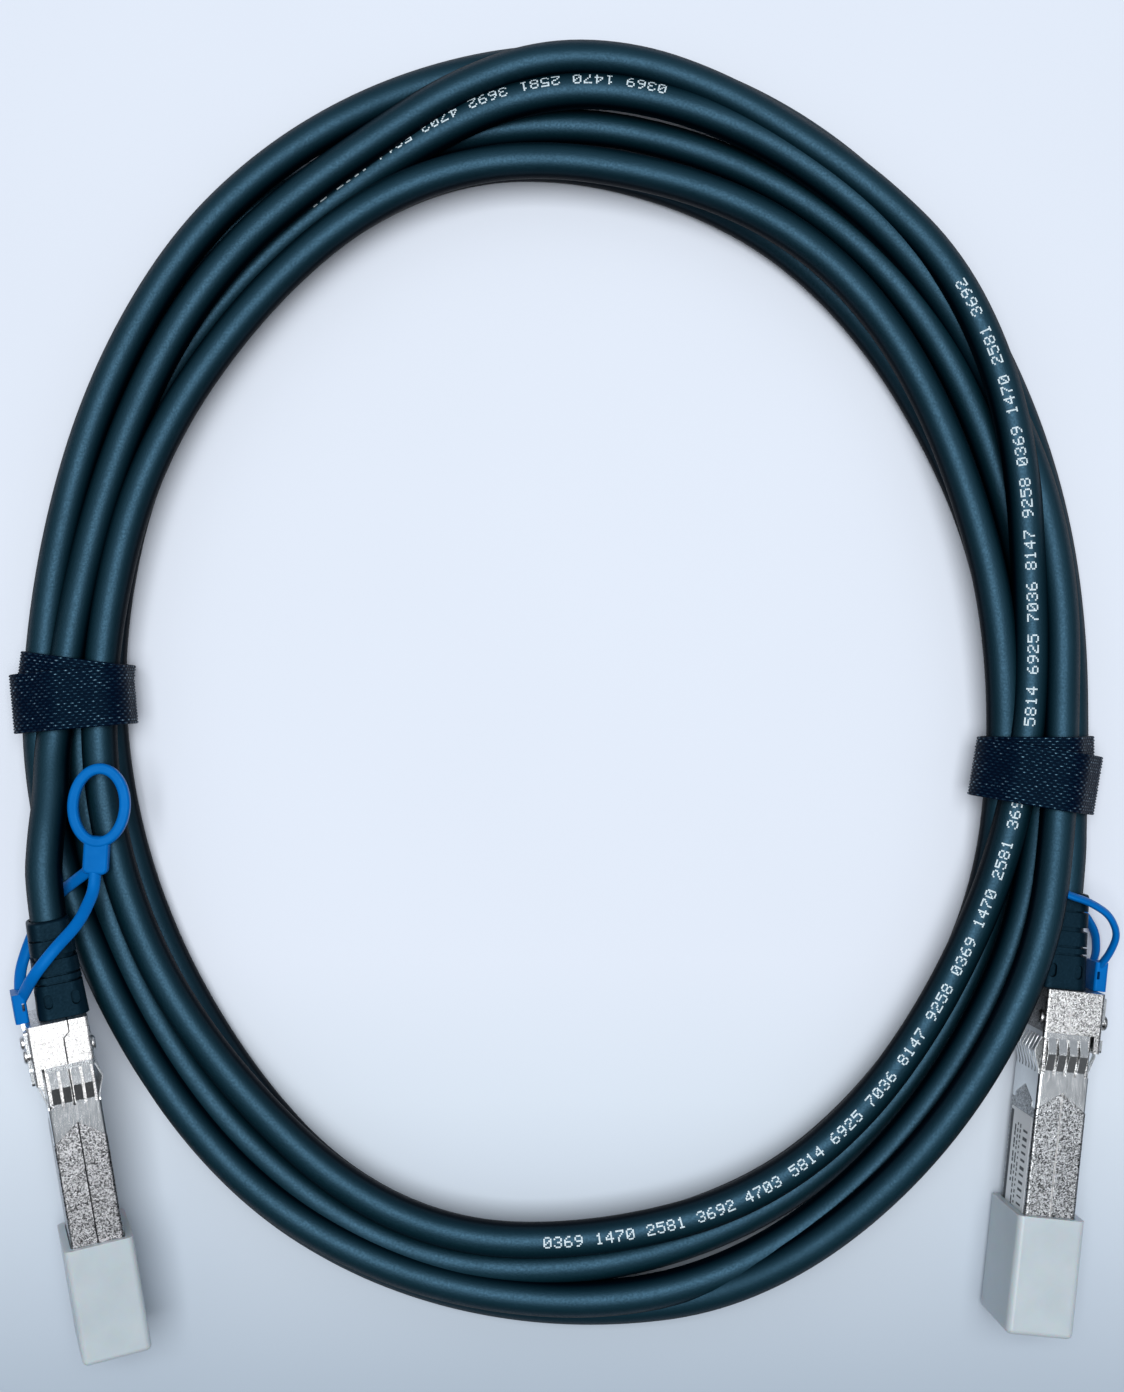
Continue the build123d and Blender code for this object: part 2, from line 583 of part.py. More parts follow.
def boot_core(shrink, start, end):
    """Tapered body of the boot between two depths, less a margin all round."""
    faces = []
    for x in (start, end):
        share = -x / BOOT_LENGTH
        width = BOOT_FRONT_WIDTH + share * (BOOT_END_WIDTH - BOOT_FRONT_WIDTH) - 2 * shrink
        height = BOOT_FRONT_HEIGHT + share * (BOOT_END_HEIGHT - BOOT_FRONT_HEIGHT) - 2 * shrink
        faces.append(Plane.YZ.offset(x) * Pos(0, CABLE_RISE) * RectangleRounded(width, height, BOOT_ROUND))
    return loft(faces)


def strain_relief():
    """Moulded boot: tapered, ringed by grooves, pierced by oval slots, with an inner flange."""
    boot = boot_core(0, -FIT_GAP, -BOOT_LENGTH)
    rim = boot.faces().sort_by(Axis.X)[0].edges()
    boot = fillet(rim, BOOT_GROOVE_DEPTH)
    for place_share, length_share in BOOT_GROOVE_SHARES:
        start = -place_share * BOOT_LENGTH
        end = start - length_share * BOOT_LENGTH
        cutter = slab((end, start), half(2 * BOOT_FRONT_WIDTH), half(2 * BOOT_FRONT_WIDTH))
        boot -= cutter - boot_core(BOOT_GROOVE_DEPTH, start + OVERRUN / 4, end - OVERRUN / 4)
    for side in (-1, 1):
        slot = Plane.XZ.offset(side * BOOT_FRONT_WIDTH / 2) * SlotOverall(BOOT_SLOT_LENGTH, BOOT_SLOT_WIDTH)
        for row in (-1, 1):
            where = Pos(-BOOT_SLOT_PLACE, 0, CABLE_RISE + row * BOOT_SLOT_SPACING / 2)
            boot -= where * extrude(slot, BOOT_SLOT_DEPTH, both=True)
    notch = slab((-BOOT_SLOT_PLACE - BOOT_SLOT_WIDTH, -BOOT_SLOT_PLACE), half(BOOT_SLOT_SPACING),
                 half(BOOT_FRONT_HEIGHT + OVERRUN))
    notch -= slab((-BOOT_LENGTH, 0), half(BOOT_FRONT_WIDTH), half(BOOT_FRONT_HEIGHT - 3 * BOOT_GROOVE_DEPTH))
    boot -= Pos(0, 0, CABLE_RISE) * notch
    boot += rod((-BLOCK_WALL, BLOCK_WALL + FIT_GAP), BOOT_NECK_DIAMETER, CABLE_RISE)
    flange_top = TOP - BLOCK_WALL
    flange_bottom = 2 * CABLE_RISE - flange_top
    boot += slab((BLOCK_WALL + FIT_GAP, BLOCK_WALL + BOOT_FLANGE), half(REAR_HOLLOW_WIDTH - 2 * FIT_GAP),
                 (flange_bottom, flange_top))
    boot -= rod((-LEAD_INSIDE, 2 * BLOCK_WALL + BOOT_FLANGE), FERRULE_DIAMETER + 2 * FIT_GAP, CABLE_RISE)
    return boot - rod((-BOOT_LENGTH - OVERRUN, -LEAD_INSIDE), CABLE_DIAMETER + 2 * FIT_GAP, CABLE_RISE)


CAP_WIDTH = NOSE_WIDTH + 2 * SLIDE_GAP + 2 * CAP_WALL
CAP_HEIGHT = NOSE_HEIGHT + 2 * SLIDE_GAP + 2 * CAP_WALL
CAP_END = BODY_LENGTH + SLIDE_GAP + CAP_WALL


def dust_cap():
    """Soft translucent cap, open at the rear, round at its closed end."""
    cap = rounded_bar((CAP_START, CAP_END), CAP_WIDTH, CAP_HEIGHT, CAP_ROUND)
    cap = fillet(cap.faces().sort_by(Axis.X)[-1].edges(), CAP_ROUND * RIM_ROUND_SHARE)
    hollow = rounded_bar((CAP_START - OVERRUN, BODY_LENGTH + SLIDE_GAP), NOSE_WIDTH + 2 * SLIDE_GAP,
                         NOSE_HEIGHT + 2 * SLIDE_GAP, EDGE_ROUND)
    return cap - hollow


# Pull tab

def pull_tab(arms, arm_section, ring_shares, level):
    """Flexible tab: base moulded on the slider's tongue, two flat arms, web and finger ring."""
    base_top = PLATE_TOP + (TAB_BASE_HEIGHT - SLIDER_THICKNESS) / 2
    base = slab((-TAB_BASE_LENGTH, -FIT_GAP), half(TAB_BASE_WIDTH), (base_top - TAB_BASE_HEIGHT, base_top))
    base = fillet(base.edges().filter_by(Axis.X), TAB_ROUND)
    window_middle = (base_top - TAB_BASE_HEIGHT / 2) + TAB_WINDOW_HEIGHT / 3
    window_start = -TONGUE_LENGTH + TAB_WINDOW_LENGTH / 2
    base -= slab((window_start, window_start + TAB_WINDOW_LENGTH), half(2 * TAB_BASE_WIDTH),
                 (window_middle, window_middle + TAB_WINDOW_HEIGHT / 2))
    tab = base
    for shares in arms:
        route = [tuple(TAB_REACH * share for share in point) for point in shares]
        tab += tube_along(route, arm_section, level)[0]
    ring_center = Vector(*(TAB_REACH * share for share in ring_shares))
    joint = Vector(*(TAB_REACH * share for share in arms[0][-1]))
    reach = ring_center - joint
    along = (reach - level * reach.dot(level)).normalized()
    ring_plane = Plane(origin=ring_center, x_dir=along, z_dir=level)
    ring = ring_plane * Ellipse(RING_LENGTH / 2, RING_WIDTH / 2)
    ring -= ring_plane * Ellipse(RING_LENGTH / 2 - RING_BAND, RING_WIDTH / 2 - RING_BAND)
    ring = extrude(ring, TAB_THICKNESS / 2, both=True)
    ring = fillet(ring.edges(), TAB_ROUND)
    web_plane = Plane(origin=(ring_center + joint) / 2, x_dir=reach.normalized(),
                      z_dir=level - reach.normalized() * level.dot(reach.normalized()))
    neck = reach.length - RING_LENGTH / 2 + RING_BAND / 2
    web = Pos(-(reach.length - neck) / 2, 0) * RectangleRounded(neck + TAB_ARM_WIDTH, WEB_WIDTH,
                                                                TAB_ARM_WIDTH / 2)
    web = extrude(web_plane * web, TAB_THICKNESS / 2, both=True)
    tab += ring + fillet(web.faces().sort_by(Axis(web_plane.origin, web_plane.z_dir))[-1].edges(), TAB_ROUND)
    tongue = slab((-TONGUE_LENGTH, SLIDER_START), half(TONGUE_WIDTH), (PLATE_BOTTOM, PLATE_TOP))
    return tab - tongue


# Placing a plug

def plug_plane(rear, heading, pitch, roll, label_side):
    """Axes of a plug that rests on its dust cap, turned as given."""
    turn = radians(heading)
    dip = radians(pitch)
    lean = radians(roll)
    nose = Vector(sin(turn) * cos(dip), -cos(turn) * cos(dip), -sin(dip))
    across = Vector(cos(turn), sin(turn), 0)
    upright = across.cross(nose) * -1
    top = upright * cos(lean) + across * sin(lean)
    label = top.cross(nose) * label_side
    width = label.cross(nose)
    corners = [nose * x + width * (side * CAP_WIDTH / 2) + label * (face * CAP_HEIGHT / 2)
               for x in (CAP_START, CAP_END) for side in (-1, 1) for face in (-1, 1)]
    height = -min(corner.Z for corner in corners)
    return Plane(origin=(rear[0], rear[1], height), x_dir=nose, z_dir=label)


def level_in(plane):
    """The upward direction in a plug's own axes."""
    return Vector(plane.x_dir.Z, plane.y_dir.Z, plane.z_dir.Z)


# Tab a's arms lie flat over the boot, tab b's stand on edge beside it
PLUGS = {
    "a": (plug_plane(PLUG_A_REAR, PLUG_A_HEADING, PLUG_A_PITCH, PLUG_A_ROLL, 1),
          (TAB_A_UPPER_ARM_SHARES, TAB_A_LOWER_ARM_SHARES), (TAB_ARM_WIDTH, TAB_ARM_THICKNESS),
          TAB_A_RING_SHARES),
    "b": (plug_plane(PLUG_B_REAR, PLUG_B_HEADING, PLUG_B_PITCH, PLUG_B_ROLL, -1),
          (TAB_B_UPPER_ARM_SHARES, TAB_B_LOWER_ARM_SHARES), (TAB_ARM_THICKNESS, TAB_ARM_WIDTH),
          TAB_B_RING_SHARES),
}


def plug_pieces():
    """The pieces that both plugs share, in the plug's own axes."""
    casting = plug_casting()
    return {
        "upper_shell": upper_shell(casting),
        "lower_shell": lower_shell(casting),
        "emi_collar": emi_collar(),
        "latch_slider": latch_slider(),
        "return_spring": return_spring(),
        "housing_rivets": housing_rivets(),
        "paddle_card": paddle_card(),
        "contact_pads": contact_pads(),
        "memory_chip": memory_chip(),
        "coupling_capacitors": coupling_capacitors(),
        "crimp_ferrule": crimp_ferrule(),
        "twinax_pairs": twinax_pairs(),
        "label_plate": label_plate(),
        "strain_relief": strain_relief(),
        "dust_cap": dust_cap(),
    }


# Coil, leads and straps

def coil_point(angle, share):
    """A point of the coil's plan, clockwise from the left as seen from above."""
    turn = radians(angle)
    return (COIL_CENTER[0] - COIL_HALF_WIDTH * share * cos(turn),
            COIL_CENTER[1] + COIL_HALF_LENGTH * share * sin(turn))


def coil_outline(shares):
    points = [coil_point(index * COIL_STEP, share) for index, share in enumerate(shares)]
    return make_face(Spline(*points, periodic=True))


def coil_solid():
    """Outer form of the wound turns, before anything is let into it."""
    plan = coil_outline(COIL_OUTER_SHARES) - coil_outline(COIL_INNER_SHARES)
    ring = extrude(plan, COIL_HEIGHT)
    return fillet(ring.edges(), CABLE_DIAMETER / 2)


def share_at(shares, angle):
    """Edge of the coil between two listed angles."""
    place = (angle % 360) / COIL_STEP
    index = int(place)
    part = place - index
    return shares[index] * (1 - part) + shares[(index + 1) % len(shares)] * part


def strap_plane(angle, skew):
    """Plane across the bundle at an angle: x outwards, y up, z along the bundle."""
    middle = (share_at(COIL_OUTER_SHARES, angle) + share_at(COIL_INNER_SHARES, angle)) / 2
    x, y = coil_point(angle, middle)
    turn = radians(angle + skew)
    outwards = Vector(-cos(turn), sin(turn), 0)
    return Plane(origin=(x, y, 0), x_dir=outwards, z_dir=outwards.cross(Vector(0, 0, 1)))


def bundle_width(angle):
    """Widest part of the bundle under a strap."""
    widths = []
    for offset in (-COIL_STEP / 5, 0, COIL_STEP / 5):
        outer = coil_point(angle + offset, share_at(COIL_OUTER_SHARES, angle + offset))
        inner = coil_point(angle + offset, share_at(COIL_INNER_SHARES, angle + offset))
        widths.append((Vector(*outer) - Vector(*inner)).length)
    return max(widths)


def strap_section(width, low, high, radius):
    """Rounded section across the bundle between two heights."""
    return Pos(0, (low + high) / 2) * RectangleRounded(width, high - low, radius)


def waist(plane, cavity):
    """What the bundle gives up to fit inside one layer of a strap."""
    around = Rectangle(COIL_HALF_WIDTH, COIL_HALF_WIDTH)
    return extrude(plane * (around - cavity), STRAP_WIDTH / 2 + SOFT_GAP, both=True)


def strap(angle, skew, flap_skew, flap_shift):
    """A band round the bundle, with its second layer skewed over the first, and its seat."""
    inner_width = bundle_width(angle) + 2 * SOFT_GAP
    outer_width = inner_width + 2 * STRAP_THICKNESS
    inner_top = COIL_HEIGHT + STRAP_THICKNESS / 2
    outer_top = inner_top + STRAP_THICKNESS
    inner_round = CABLE_DIAMETER / 2
    outer_round = inner_round + STRAP_THICKNESS
    plane = strap_plane(angle, skew)
    band = strap_section(outer_width, 0, outer_top, outer_round)
    band -= strap_section(inner_width, STRAP_THICKNESS, inner_top, inner_round)
    loop = extrude(plane * band, STRAP_WIDTH / 2, both=True)
    flap_plane = strap_plane(angle, skew + flap_skew).offset(flap_shift)
    bite = STRAP_THICKNESS / 8
    cover = strap_section(outer_width + 2 * STRAP_THICKNESS, -STRAP_THICKNESS, outer_top + STRAP_THICKNESS,
                          outer_round + STRAP_THICKNESS)
    cover -= strap_section(outer_width - 2 * bite, -OVERRUN, outer_top - bite, outer_round)
    low = outer_top * (1 - STRAP_TURNDOWN_SHARE)
    cover &= Pos(0, low + outer_top) * Rectangle(2 * outer_width, 2 * outer_top)
    flap = extrude(flap_plane * cover, STRAP_WIDTH / 2, both=True)
    loop_cavity = strap_section(inner_width - 2 * SOFT_GAP, STRAP_THICKNESS + SOFT_GAP, COIL_HEIGHT,
                                inner_round)
    flap_cavity = strap_section(outer_width - 2 * bite - 2 * SOFT_GAP, -OVERRUN, outer_top, inner_round)
    return loop + flap, (waist(plane, loop_cavity), waist(flap_plane, flap_cavity))


def roomy_box(first, second, clear):
    """A box round two points of a tab with clearance each way, lengthened by the tab's travel."""
    low = [min(pair) - room for pair, room in zip(zip(first, second), clear)]
    high = [max(pair) + room for pair, room in zip(zip(first, second), clear)]
    return slab((low[0] - SLIDER_TRAVEL, high[0]), (low[1], high[1]), (low[2], high[2]))


def tab_room(arms, ring_shares):
    """Room for a tab's arms, web and ring over the whole travel, in the plug's own axes."""
    around_arm = [TAB_ARM_WIDTH / 2 + SOFT_GAP] * 3
    boxes = []
    for shares in arms:
        points = [[TAB_REACH * share for share in point] for point in shares]
        boxes += [roomy_box(first, second, around_arm) for first, second in zip(points, points[1:])]
    ring = [TAB_REACH * share for share in ring_shares]
    over = TAB_THICKNESS / 2 + 2 * SOFT_GAP
    boxes.append(roomy_box(ring, ring, (RING_LENGTH / 2 + SOFT_GAP, over, RING_WIDTH / 2 + SOFT_GAP)))
    beside_web = WEB_WIDTH / 2 + SOFT_GAP
    boxes.append(roomy_box(points[-1], ring, (beside_web, over, beside_web)))
    return boxes


def boot_room():
    """Room for the boot and the rear of the metal, open outwards and upwards."""
    side = BOOT_FRONT_WIDTH / 2 + SOFT_GAP
    return slab((-BOOT_LENGTH - SOFT_GAP, DROP_LENGTH), (-side, side),
                (-NOSE_WIDTH, CABLE_RISE + BOOT_FRONT_HEIGHT / 2 + SOFT_GAP))


def fitted_coil(leads, waists):
    """The coil, let out where the leads, boots, tabs and straps need their room."""
    coil = coil_solid()
    for taken in leads + waists:
        coil -= taken
    for plane, arms, _, ring_shares in PLUGS.values():
        for room in [boot_room()] + tab_room(arms, ring_shares):
            coil -= plane.location * room
    return max(coil.solids(), key=lambda solid: solid.volume)


def build():
    """Every node by name, placed where it lies."""
    nodes = {}
    shared = plug_pieces()
    for side, (plane, arms, (across, upright), ring_shares) in PLUGS.items():
        for name, piece in shared.items():
            nodes[f"{name}_{side}"] = plane.location * piece
        arm_section = Ellipse(across / 2, upright / 2)
        nodes[f"pull_tab_{side}"] = plane.location * pull_tab(arms, arm_section, ring_shares, level_in(plane))
    leads = {}
    for side, route in (("a", LEAD_A_ROUTE), ("b", LEAD_B_ROUTE)):
        leads[side], radii, length = tube_along(route, Circle(CABLE_DIAMETER / 2))
        section = pi * CABLE_DIAMETER ** 2 / 4
        print(f"lead {side}: radii {[round(r, 1) for r in radii]}, length {length:.2f}, "
              f"volume ratio {leads[side].volume / (section * length):.4f}")
        nodes[f"cable_lead_{side}"] = leads[side]
    nodes["strap_left"], left_waists = strap(STRAP_LEFT_ANGLE, STRAP_LEFT_SKEW, STRAP_LEFT_FLAP_SKEW,
                                             STRAP_LEFT_FLAP_SHIFT)
    nodes["strap_right"], right_waists = strap(STRAP_RIGHT_ANGLE, STRAP_RIGHT_SKEW, STRAP_RIGHT_FLAP_SKEW,
                                               STRAP_RIGHT_FLAP_SHIFT)
    nodes["cable_coil"] = fitted_coil(list(leads.values()), [*left_waists, *right_waists])
    return nodes


def main():
    os.makedirs("parts", exist_ok=True)
    for name, node in build().items():
        export_step(node, f"parts/{name}.step")


if __name__ == "__main__":
    main()
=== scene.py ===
"""Looks of the coiled direct attach copper cable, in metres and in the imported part's own frame."""
import bisect
import json
import math

import bpy
from mathutils import Matrix, Vector


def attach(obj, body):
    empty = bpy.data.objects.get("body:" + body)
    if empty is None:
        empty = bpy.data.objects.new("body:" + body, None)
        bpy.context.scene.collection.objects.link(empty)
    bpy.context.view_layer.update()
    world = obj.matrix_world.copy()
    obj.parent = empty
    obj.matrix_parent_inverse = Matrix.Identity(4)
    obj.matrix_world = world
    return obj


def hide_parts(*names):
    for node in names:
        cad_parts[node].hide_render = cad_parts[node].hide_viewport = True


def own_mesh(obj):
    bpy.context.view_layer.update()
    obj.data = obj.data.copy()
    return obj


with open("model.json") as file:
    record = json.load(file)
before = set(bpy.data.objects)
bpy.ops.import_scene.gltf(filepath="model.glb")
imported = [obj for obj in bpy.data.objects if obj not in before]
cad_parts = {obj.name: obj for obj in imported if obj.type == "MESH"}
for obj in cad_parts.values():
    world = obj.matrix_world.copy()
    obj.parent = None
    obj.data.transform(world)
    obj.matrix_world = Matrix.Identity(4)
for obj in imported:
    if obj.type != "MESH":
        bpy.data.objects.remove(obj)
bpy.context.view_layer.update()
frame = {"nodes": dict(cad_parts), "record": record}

MM = 0.001
NODES = frame["nodes"]
SIDES = ("a", "b")

# Camera: straight above the coil, picture up is +Y
CAMERA_PLACE = (-0.06 * MM, 51.1 * MM, 336 * MM)
CAMERA_LENS = 50.15
CAMERA_FILM = 36.0

# Cord
CABLE_DIAMETER = 6.0 * MM
LEAD_A_ROUTE = [(-83.005, -0.376, 14.297), (-85.776, 18.851, 15.997), (-85.66, 26.90, 15.00),
                (-85.36, 34.70, 12.20), (-85.76, 42.30, 10.00)]
LEAD_B_ROUTE = [(83.606, 3.088, 7.723), (85.745, 22.466, 7.315), (86.24, 30.30, 5.70)]

# Coil
COIL_CENTER = (-0.96 * MM, 53.8 * MM)
COIL_HALF_WIDTH = 90.0 * MM
COIL_HALF_LENGTH = 109.2 * MM
POINTS_PER_TURN = 36
CORD_STEPS = 8
CORD_SIDES = 8
# The lay of the turns: angle clockwise from the left in degrees, share of the coil's half axes,
# and height of the cord's middle as a share of its diameter
COIL_LAY_SHARES = (
    # First turn, on top, from plug a
    (-2, .926, 1.55), (3, .909, 1.5), (10, .9015, 1.5), (20, .891, 1.5), (30, .891, 1.5), (40, .8955, 1.5),
    (50, .895, 1.5), (60, .890, 1.5), (65, .892, 1.5), (70, .903, 1.5), (75, .9185, 1.5), (80, .936, 1.5),
    (85, .950, 1.5), (90, .963, 1.5), (97, .9655, 1.5), (104, .961, 1.55), (112, .951, 1.67),
    (120, .9475, 1.67), (126, .953, 1.65), (132, .9625, 1.65), (140, .971, 1.7), (145, .9645, 1.7),
    (150, .953, 1.7), (155, .9405, 1.6), (160, .926, 1.6), (165, .909, 1.55), (170, .8955, 1.5),
    (180, .886, 1.5), (190, .8815, 1.5), (197, .878, 1.5), (205, .870, 1.5), (215, .8665, 1.5),
    (225, .8725, 1.5), (235, .8755, 1.5), (242, .8745, 1.5), (250, .869, 1.5), (260, .8605, 1.5),
    (270, .8625, 1.5), (280, .873, 1.5), (290, .8765, 1.5), (300, .871, 1.5), (310, .862, 1.5),
    (320, .8635, 1.5), (330, .870, 1.5), (340, .8705, 1.5), (350, .866, 1.5),
    # Second turn, inside it
    (362, .853, 1.5), (370, .843, 1.5), (380, .836, 1.5), (390, .824, 1.5), (400, .812, 1.5),
    (410, .808, 1.5), (420, .8095, 1.5), (430, .811, 1.5), (440, .808, 1.5), (450, .801, 1.5),
    (460, .797, 1.5), (470, .804, 1.5), (480, .816, 1.5), (490, .8245, 1.5), (500, .8255, 1.45),
    (510, .822, 1.4), (520, .8215, 1.4), (530, .830, 1.4), (540, .839, 1.3), (546, .846, 1.17),
    (553, .860, 1.05), (558, .871, .95), (564, .883, .67), (570, .886, .5), (585, .886, .5),
    (600, .888, .5), (615, .879, .5), (630, .878, .5), (640, .888, .5), (650, .8905, .5), (658, .887, .5),
    (665, .878, .5), (672, .866, .5), (680, .8575, .5), (690, .854, .5), (708, .854, .5), (716, .854, .68),
    # Third turn, on the table and then outwards
    (725, .852, .68), (735, .850, .5), (742, .850, .5), (750, .842, .5), (760, .832, .5), (770, .826, .5),
    (780, .8245, .5), (790, .8245, .5), (800, .8205, .5), (810, .810, .5), (820, .802, .5), (830, .801, .5),
    (840, .8055, .5), (850, .8075, .5), (860, .8105, .5), (870, .815, .5), (880, .830, .5), (890, .845, .5),
    (898, .852, .5), (904, .861, .68), (913, .882, .68), (920, .900, .5), (928, .911, .5), (936, .915, .5),
    (950, .918, .5), (960, .917, .55), (972, .910, .8), (984, .906, 1.17), (992, .911, 1.2),
    (1000, .921, 1.2), (1010, .9285, 1.15), (1020, .925, 1.1), (1045, .919, 1.03), (1060, .917, 1.03),
    (1070, .908, 1.0), (1077, .899, 0.83),
    # Fourth turn, which climbs over the boot of plug b
    (1084, .893, 0.63), (1092, .893, 0.5), (1110, .885, 0.5), (1125, .866, 0.6), (1140, .858, 0.73),
    (1150, .866, 1.03), (1160, .890, 1.33), (1170, .912, 1.5), (1190, .918, 1.5), (1205, .923, 1.5),
    (1216, .934, 1.38), (1224, .942, 1.0), (1231, .949, 0.83), (1238, .955, 1.1), (1246, .957, 1.33),
    (1254, .951, 1.5), (1262, .943, 1.5), (1268, .944, 1.6), (1273, .955, 1.85), (1279, .973, 2.23),
    (1286, .978, 2.5), (1300, .980, 2.5), (1310, .9825, 2.3), (1320, .987, 2.03), (1330, .993, 1.6),
    (1338, .989, 1.07), (1347, .980, 0.67), (1360, .977, 0.5), (1372, .980, 0.5), (1384, .985, 0.5),
    (1400, .982, 0.5), (1420, .966, 0.5),
    # Fifth turn, mostly underneath
    (1426, .963, 0.5), (1434, .959, 0.68), (1445, .957, 0.68), (1455, .955, 0.5), (1485, .957, 0.5),
    (1496, .925, 0.5), (1506, .893, 0.5), (1515, .875, 0.5), (1525, .870, 0.5), (1545, .869, 0.6),
    (1560, .878, 0.8), (1570, .889, 0.9), (1580, .894, 0.92), (1592, .896, 0.73), (1602, .900, 0.55),
    (1614, .910, 0.5), (1622, .919, 0.68), (1629, .929, 0.97), (1636, .940, 1.33), (1644, .949, 1.5),
    (1660, .953, 1.5), (1672, .958, 1.5), (1690, .966, 1.5), (1701, .962, 1.47), (1712, .954, 1.43),
    (1722, .954, 1.43), (1732, .958, 1.43), (1745, .967, 1.43), (1757, .964, 1.43), (1772, .962, 1.4),
    (1781, .972, 1.27), (1790, .983, 1.17), (1796, .976, 1.2),
    # Last stretch, round the outside to plug b
    (1804, .962, 1.33), (1815, .953, 1.5), (1830, .956, 1.5), (1845, .962, 1.5), (1860, .957, 1.4),
    (1869, .957, 1.1), (1878, .962, 0.75), (1890, .970, 0.5), (1900, .976, 0.5), (1920, .975, 0.5),
    (1935, .978, 0.5), (1950, .975, 0.5), (1965, .976, 0.5), (1975, .9755, 0.52), (1986, .979, 0.7))


def add_camera():
    """Puts the camera where the photograph was taken from."""
    data = bpy.data.cameras.new("camera")
    data.sensor_fit = "VERTICAL"
    data.sensor_height = CAMERA_FILM
    data.lens = CAMERA_LENS
    camera = bpy.data.objects.new("camera", data)
    camera.location = CAMERA_PLACE
    bpy.context.scene.collection.objects.link(camera)
    bpy.context.scene.camera = camera


def lay_at(angle):
    """Share of the half axes and height between two rows of the lay."""
    for low, high in zip(COIL_LAY_SHARES, COIL_LAY_SHARES[1:]):
        if angle <= high[0]:
            part = (angle - low[0]) / (high[0] - low[0])
            return [a + (b - a) * part for a, b in zip(low[1:], high[1:])]
    return COIL_LAY_SHARES[-1][1:]


def coil_point(angle, share, height_share):
    turn = math.radians(angle)
    return Vector((COIL_CENTER[0] - COIL_HALF_WIDTH * share * math.cos(turn),
                   COIL_CENTER[1] + COIL_HALF_LENGTH * share * math.sin(turn),
                   CABLE_DIAMETER * height_share))


def coil_turns():
    """Control points of the turns, a little outside the line that they draw."""
    step = 360 / POINTS_PER_TURN
    outset = 1 / math.cos(math.radians(step / 2))
    first, last = COIL_LAY_SHARES[0][0], COIL_LAY_SHARES[-1][0]
    count = int((last - first) / step) + 1
    points = []
    for index in range(count):
        angle = first + index * (last - first) / (count - 1)
        share, height_share = lay_at(angle)
        points.append(coil_point(angle, share * outset, height_share))
    return points


def cord_route():
    """The whole route, from boot a round the coil to boot b."""
    lead_a = [Vector(point) * MM for point in LEAD_A_ROUTE]
    lead_b = [Vector(point) * MM for point in LEAD_B_ROUTE]
    return lead_a + coil_turns() + lead_b[::-1]


def spline_curve(name, points, diameter=0):
    """One NURBS spline as a curve object, bare or as a round cord."""
    data = bpy.data.curves.new(name, "CURVE")
    data.dimensions = "3D"
    spline = data.splines.new("NURBS")
    spline.points.add(len(points) - 1)
    for target, point in zip(spline.points, points):
        target.co = (*point, 1)
        target.radius = max(diameter, CABLE_DIAMETER) / 2
    spline.order_u = 3
    spline.use_endpoint_u = True
    data.resolution_u = CORD_STEPS
    data.bevel_depth = 1 if diameter else 0
    data.bevel_resolution = CORD_SIDES
    made = bpy.data.objects.new(name, data)
    bpy.context.scene.collection.objects.link(made)
    return made


def add_cable():
    """The cord, from one boot to the other, in the place of the leads and the coil."""
    route = cord_route()
    cable = spline_curve("cable", route, CABLE_DIAMETER)
    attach(cable, "root")
    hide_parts("cable_coil", "cable_lead_a", "cable_lead_b")
    return cable, route


# Materials

# Where most of a noise's values lie
NOISE_REACH = (0.3, 0.7)

# Jacket: painted shade darkens and dulls the flanks, and a painted sheen lightens and glosses the top, by
# the upward part of its normal
JACKET_PAINTED_SHADE_TONES = ((0.35, (0.0000, 0.0010, 0.0030)), (0.95, (0.0008, 0.012, 0.018)))
JACKET_PAINTED_SHEEN_GLOSS = ((0.45, 0.95), (0.05, 0.8))
JACKET_PATCH = 9 * MM
JACKET_PATCH_GLOSS = (0.85, 1.0)
JACKET_GRAIN = 0.35 * MM
JACKET_GRAIN_DEPTH = 0.05 * MM
JACKET_ROUGHNESS = (0.42, 0.56)
JACKET_TINT = (0.30, 0.66, 1.0, 1)

# Castings: tone and grain contrast of each plug's nose and rear block; the tones are painted reflection
CASTING_REFLECTION_TONES_AND_GRAIN = {"a": (((0.54, 0.55, 0.57), 0.9), ((0.86, 0.86, 0.86), 0.5)),
                 "b": (((0.44, 0.46, 0.48), 0.92), ((0.58, 0.59, 0.60), 0.8))}
GOLD_SKINS = (((0.85, 0.60, 0.25), 0.05),) * 2
FOIL_SKINS = (((0.75, 0.75, 0.76), 0.2),) * 2
# Size of a casting's grains, and how far they spread between dark and bright
CASTING_GRAIN = 0.19 * MM
CASTING_GRAIN_DEPTH = CASTING_GRAIN / 6
GRAIN_SPREAD = 0.38
CASTING_PATCH = 0.5 * MM
CASTING_ROUGHNESS = (0.24, 0.40)
# Where the plugs' rear blocks begin along the table's Y, and the casting's painted reflection changes to the
# rear block's tone
REAR_REFLECTION_FADE = (-16 * MM, -14 * MM)
# The stepped seam between a plug's halves, drawn twice as wide as its gap: half the drawn width,
# where its step lies, and its tone: a dark joint on plug a, a painted highlight on plug b
SEAM_HALF = 0.12 * MM
SEAM_STEP_ENDS = (1.9 * MM, 2.8 * MM)
SEAM_STEP_HEIGHT = 1.0 * MM
SEAM_JOINT_AND_HIGHLIGHT_TONES = {"a": (0.03, 0.03, 0.035, 1), "b": (0.85, 0.86, 0.87, 1)}
NOSE_HALF_HEIGHT = 4.3 * MM

# Spring sheet
SHEET_LINE = 0.2 * MM
SHEET_STRETCH = (1.0, 0.08, 1.0)
SHEET_TONES = ((0.3, (0.60, 0.63, 0.65)), (0.7, (0.70, 0.73, 0.75)))
SHEET_ROUGHNESS = (0.14, 0.22)
SHEET_WAVE = 2.5 * MM
SHEET_WAVE_DEPTH = 0.03 * MM

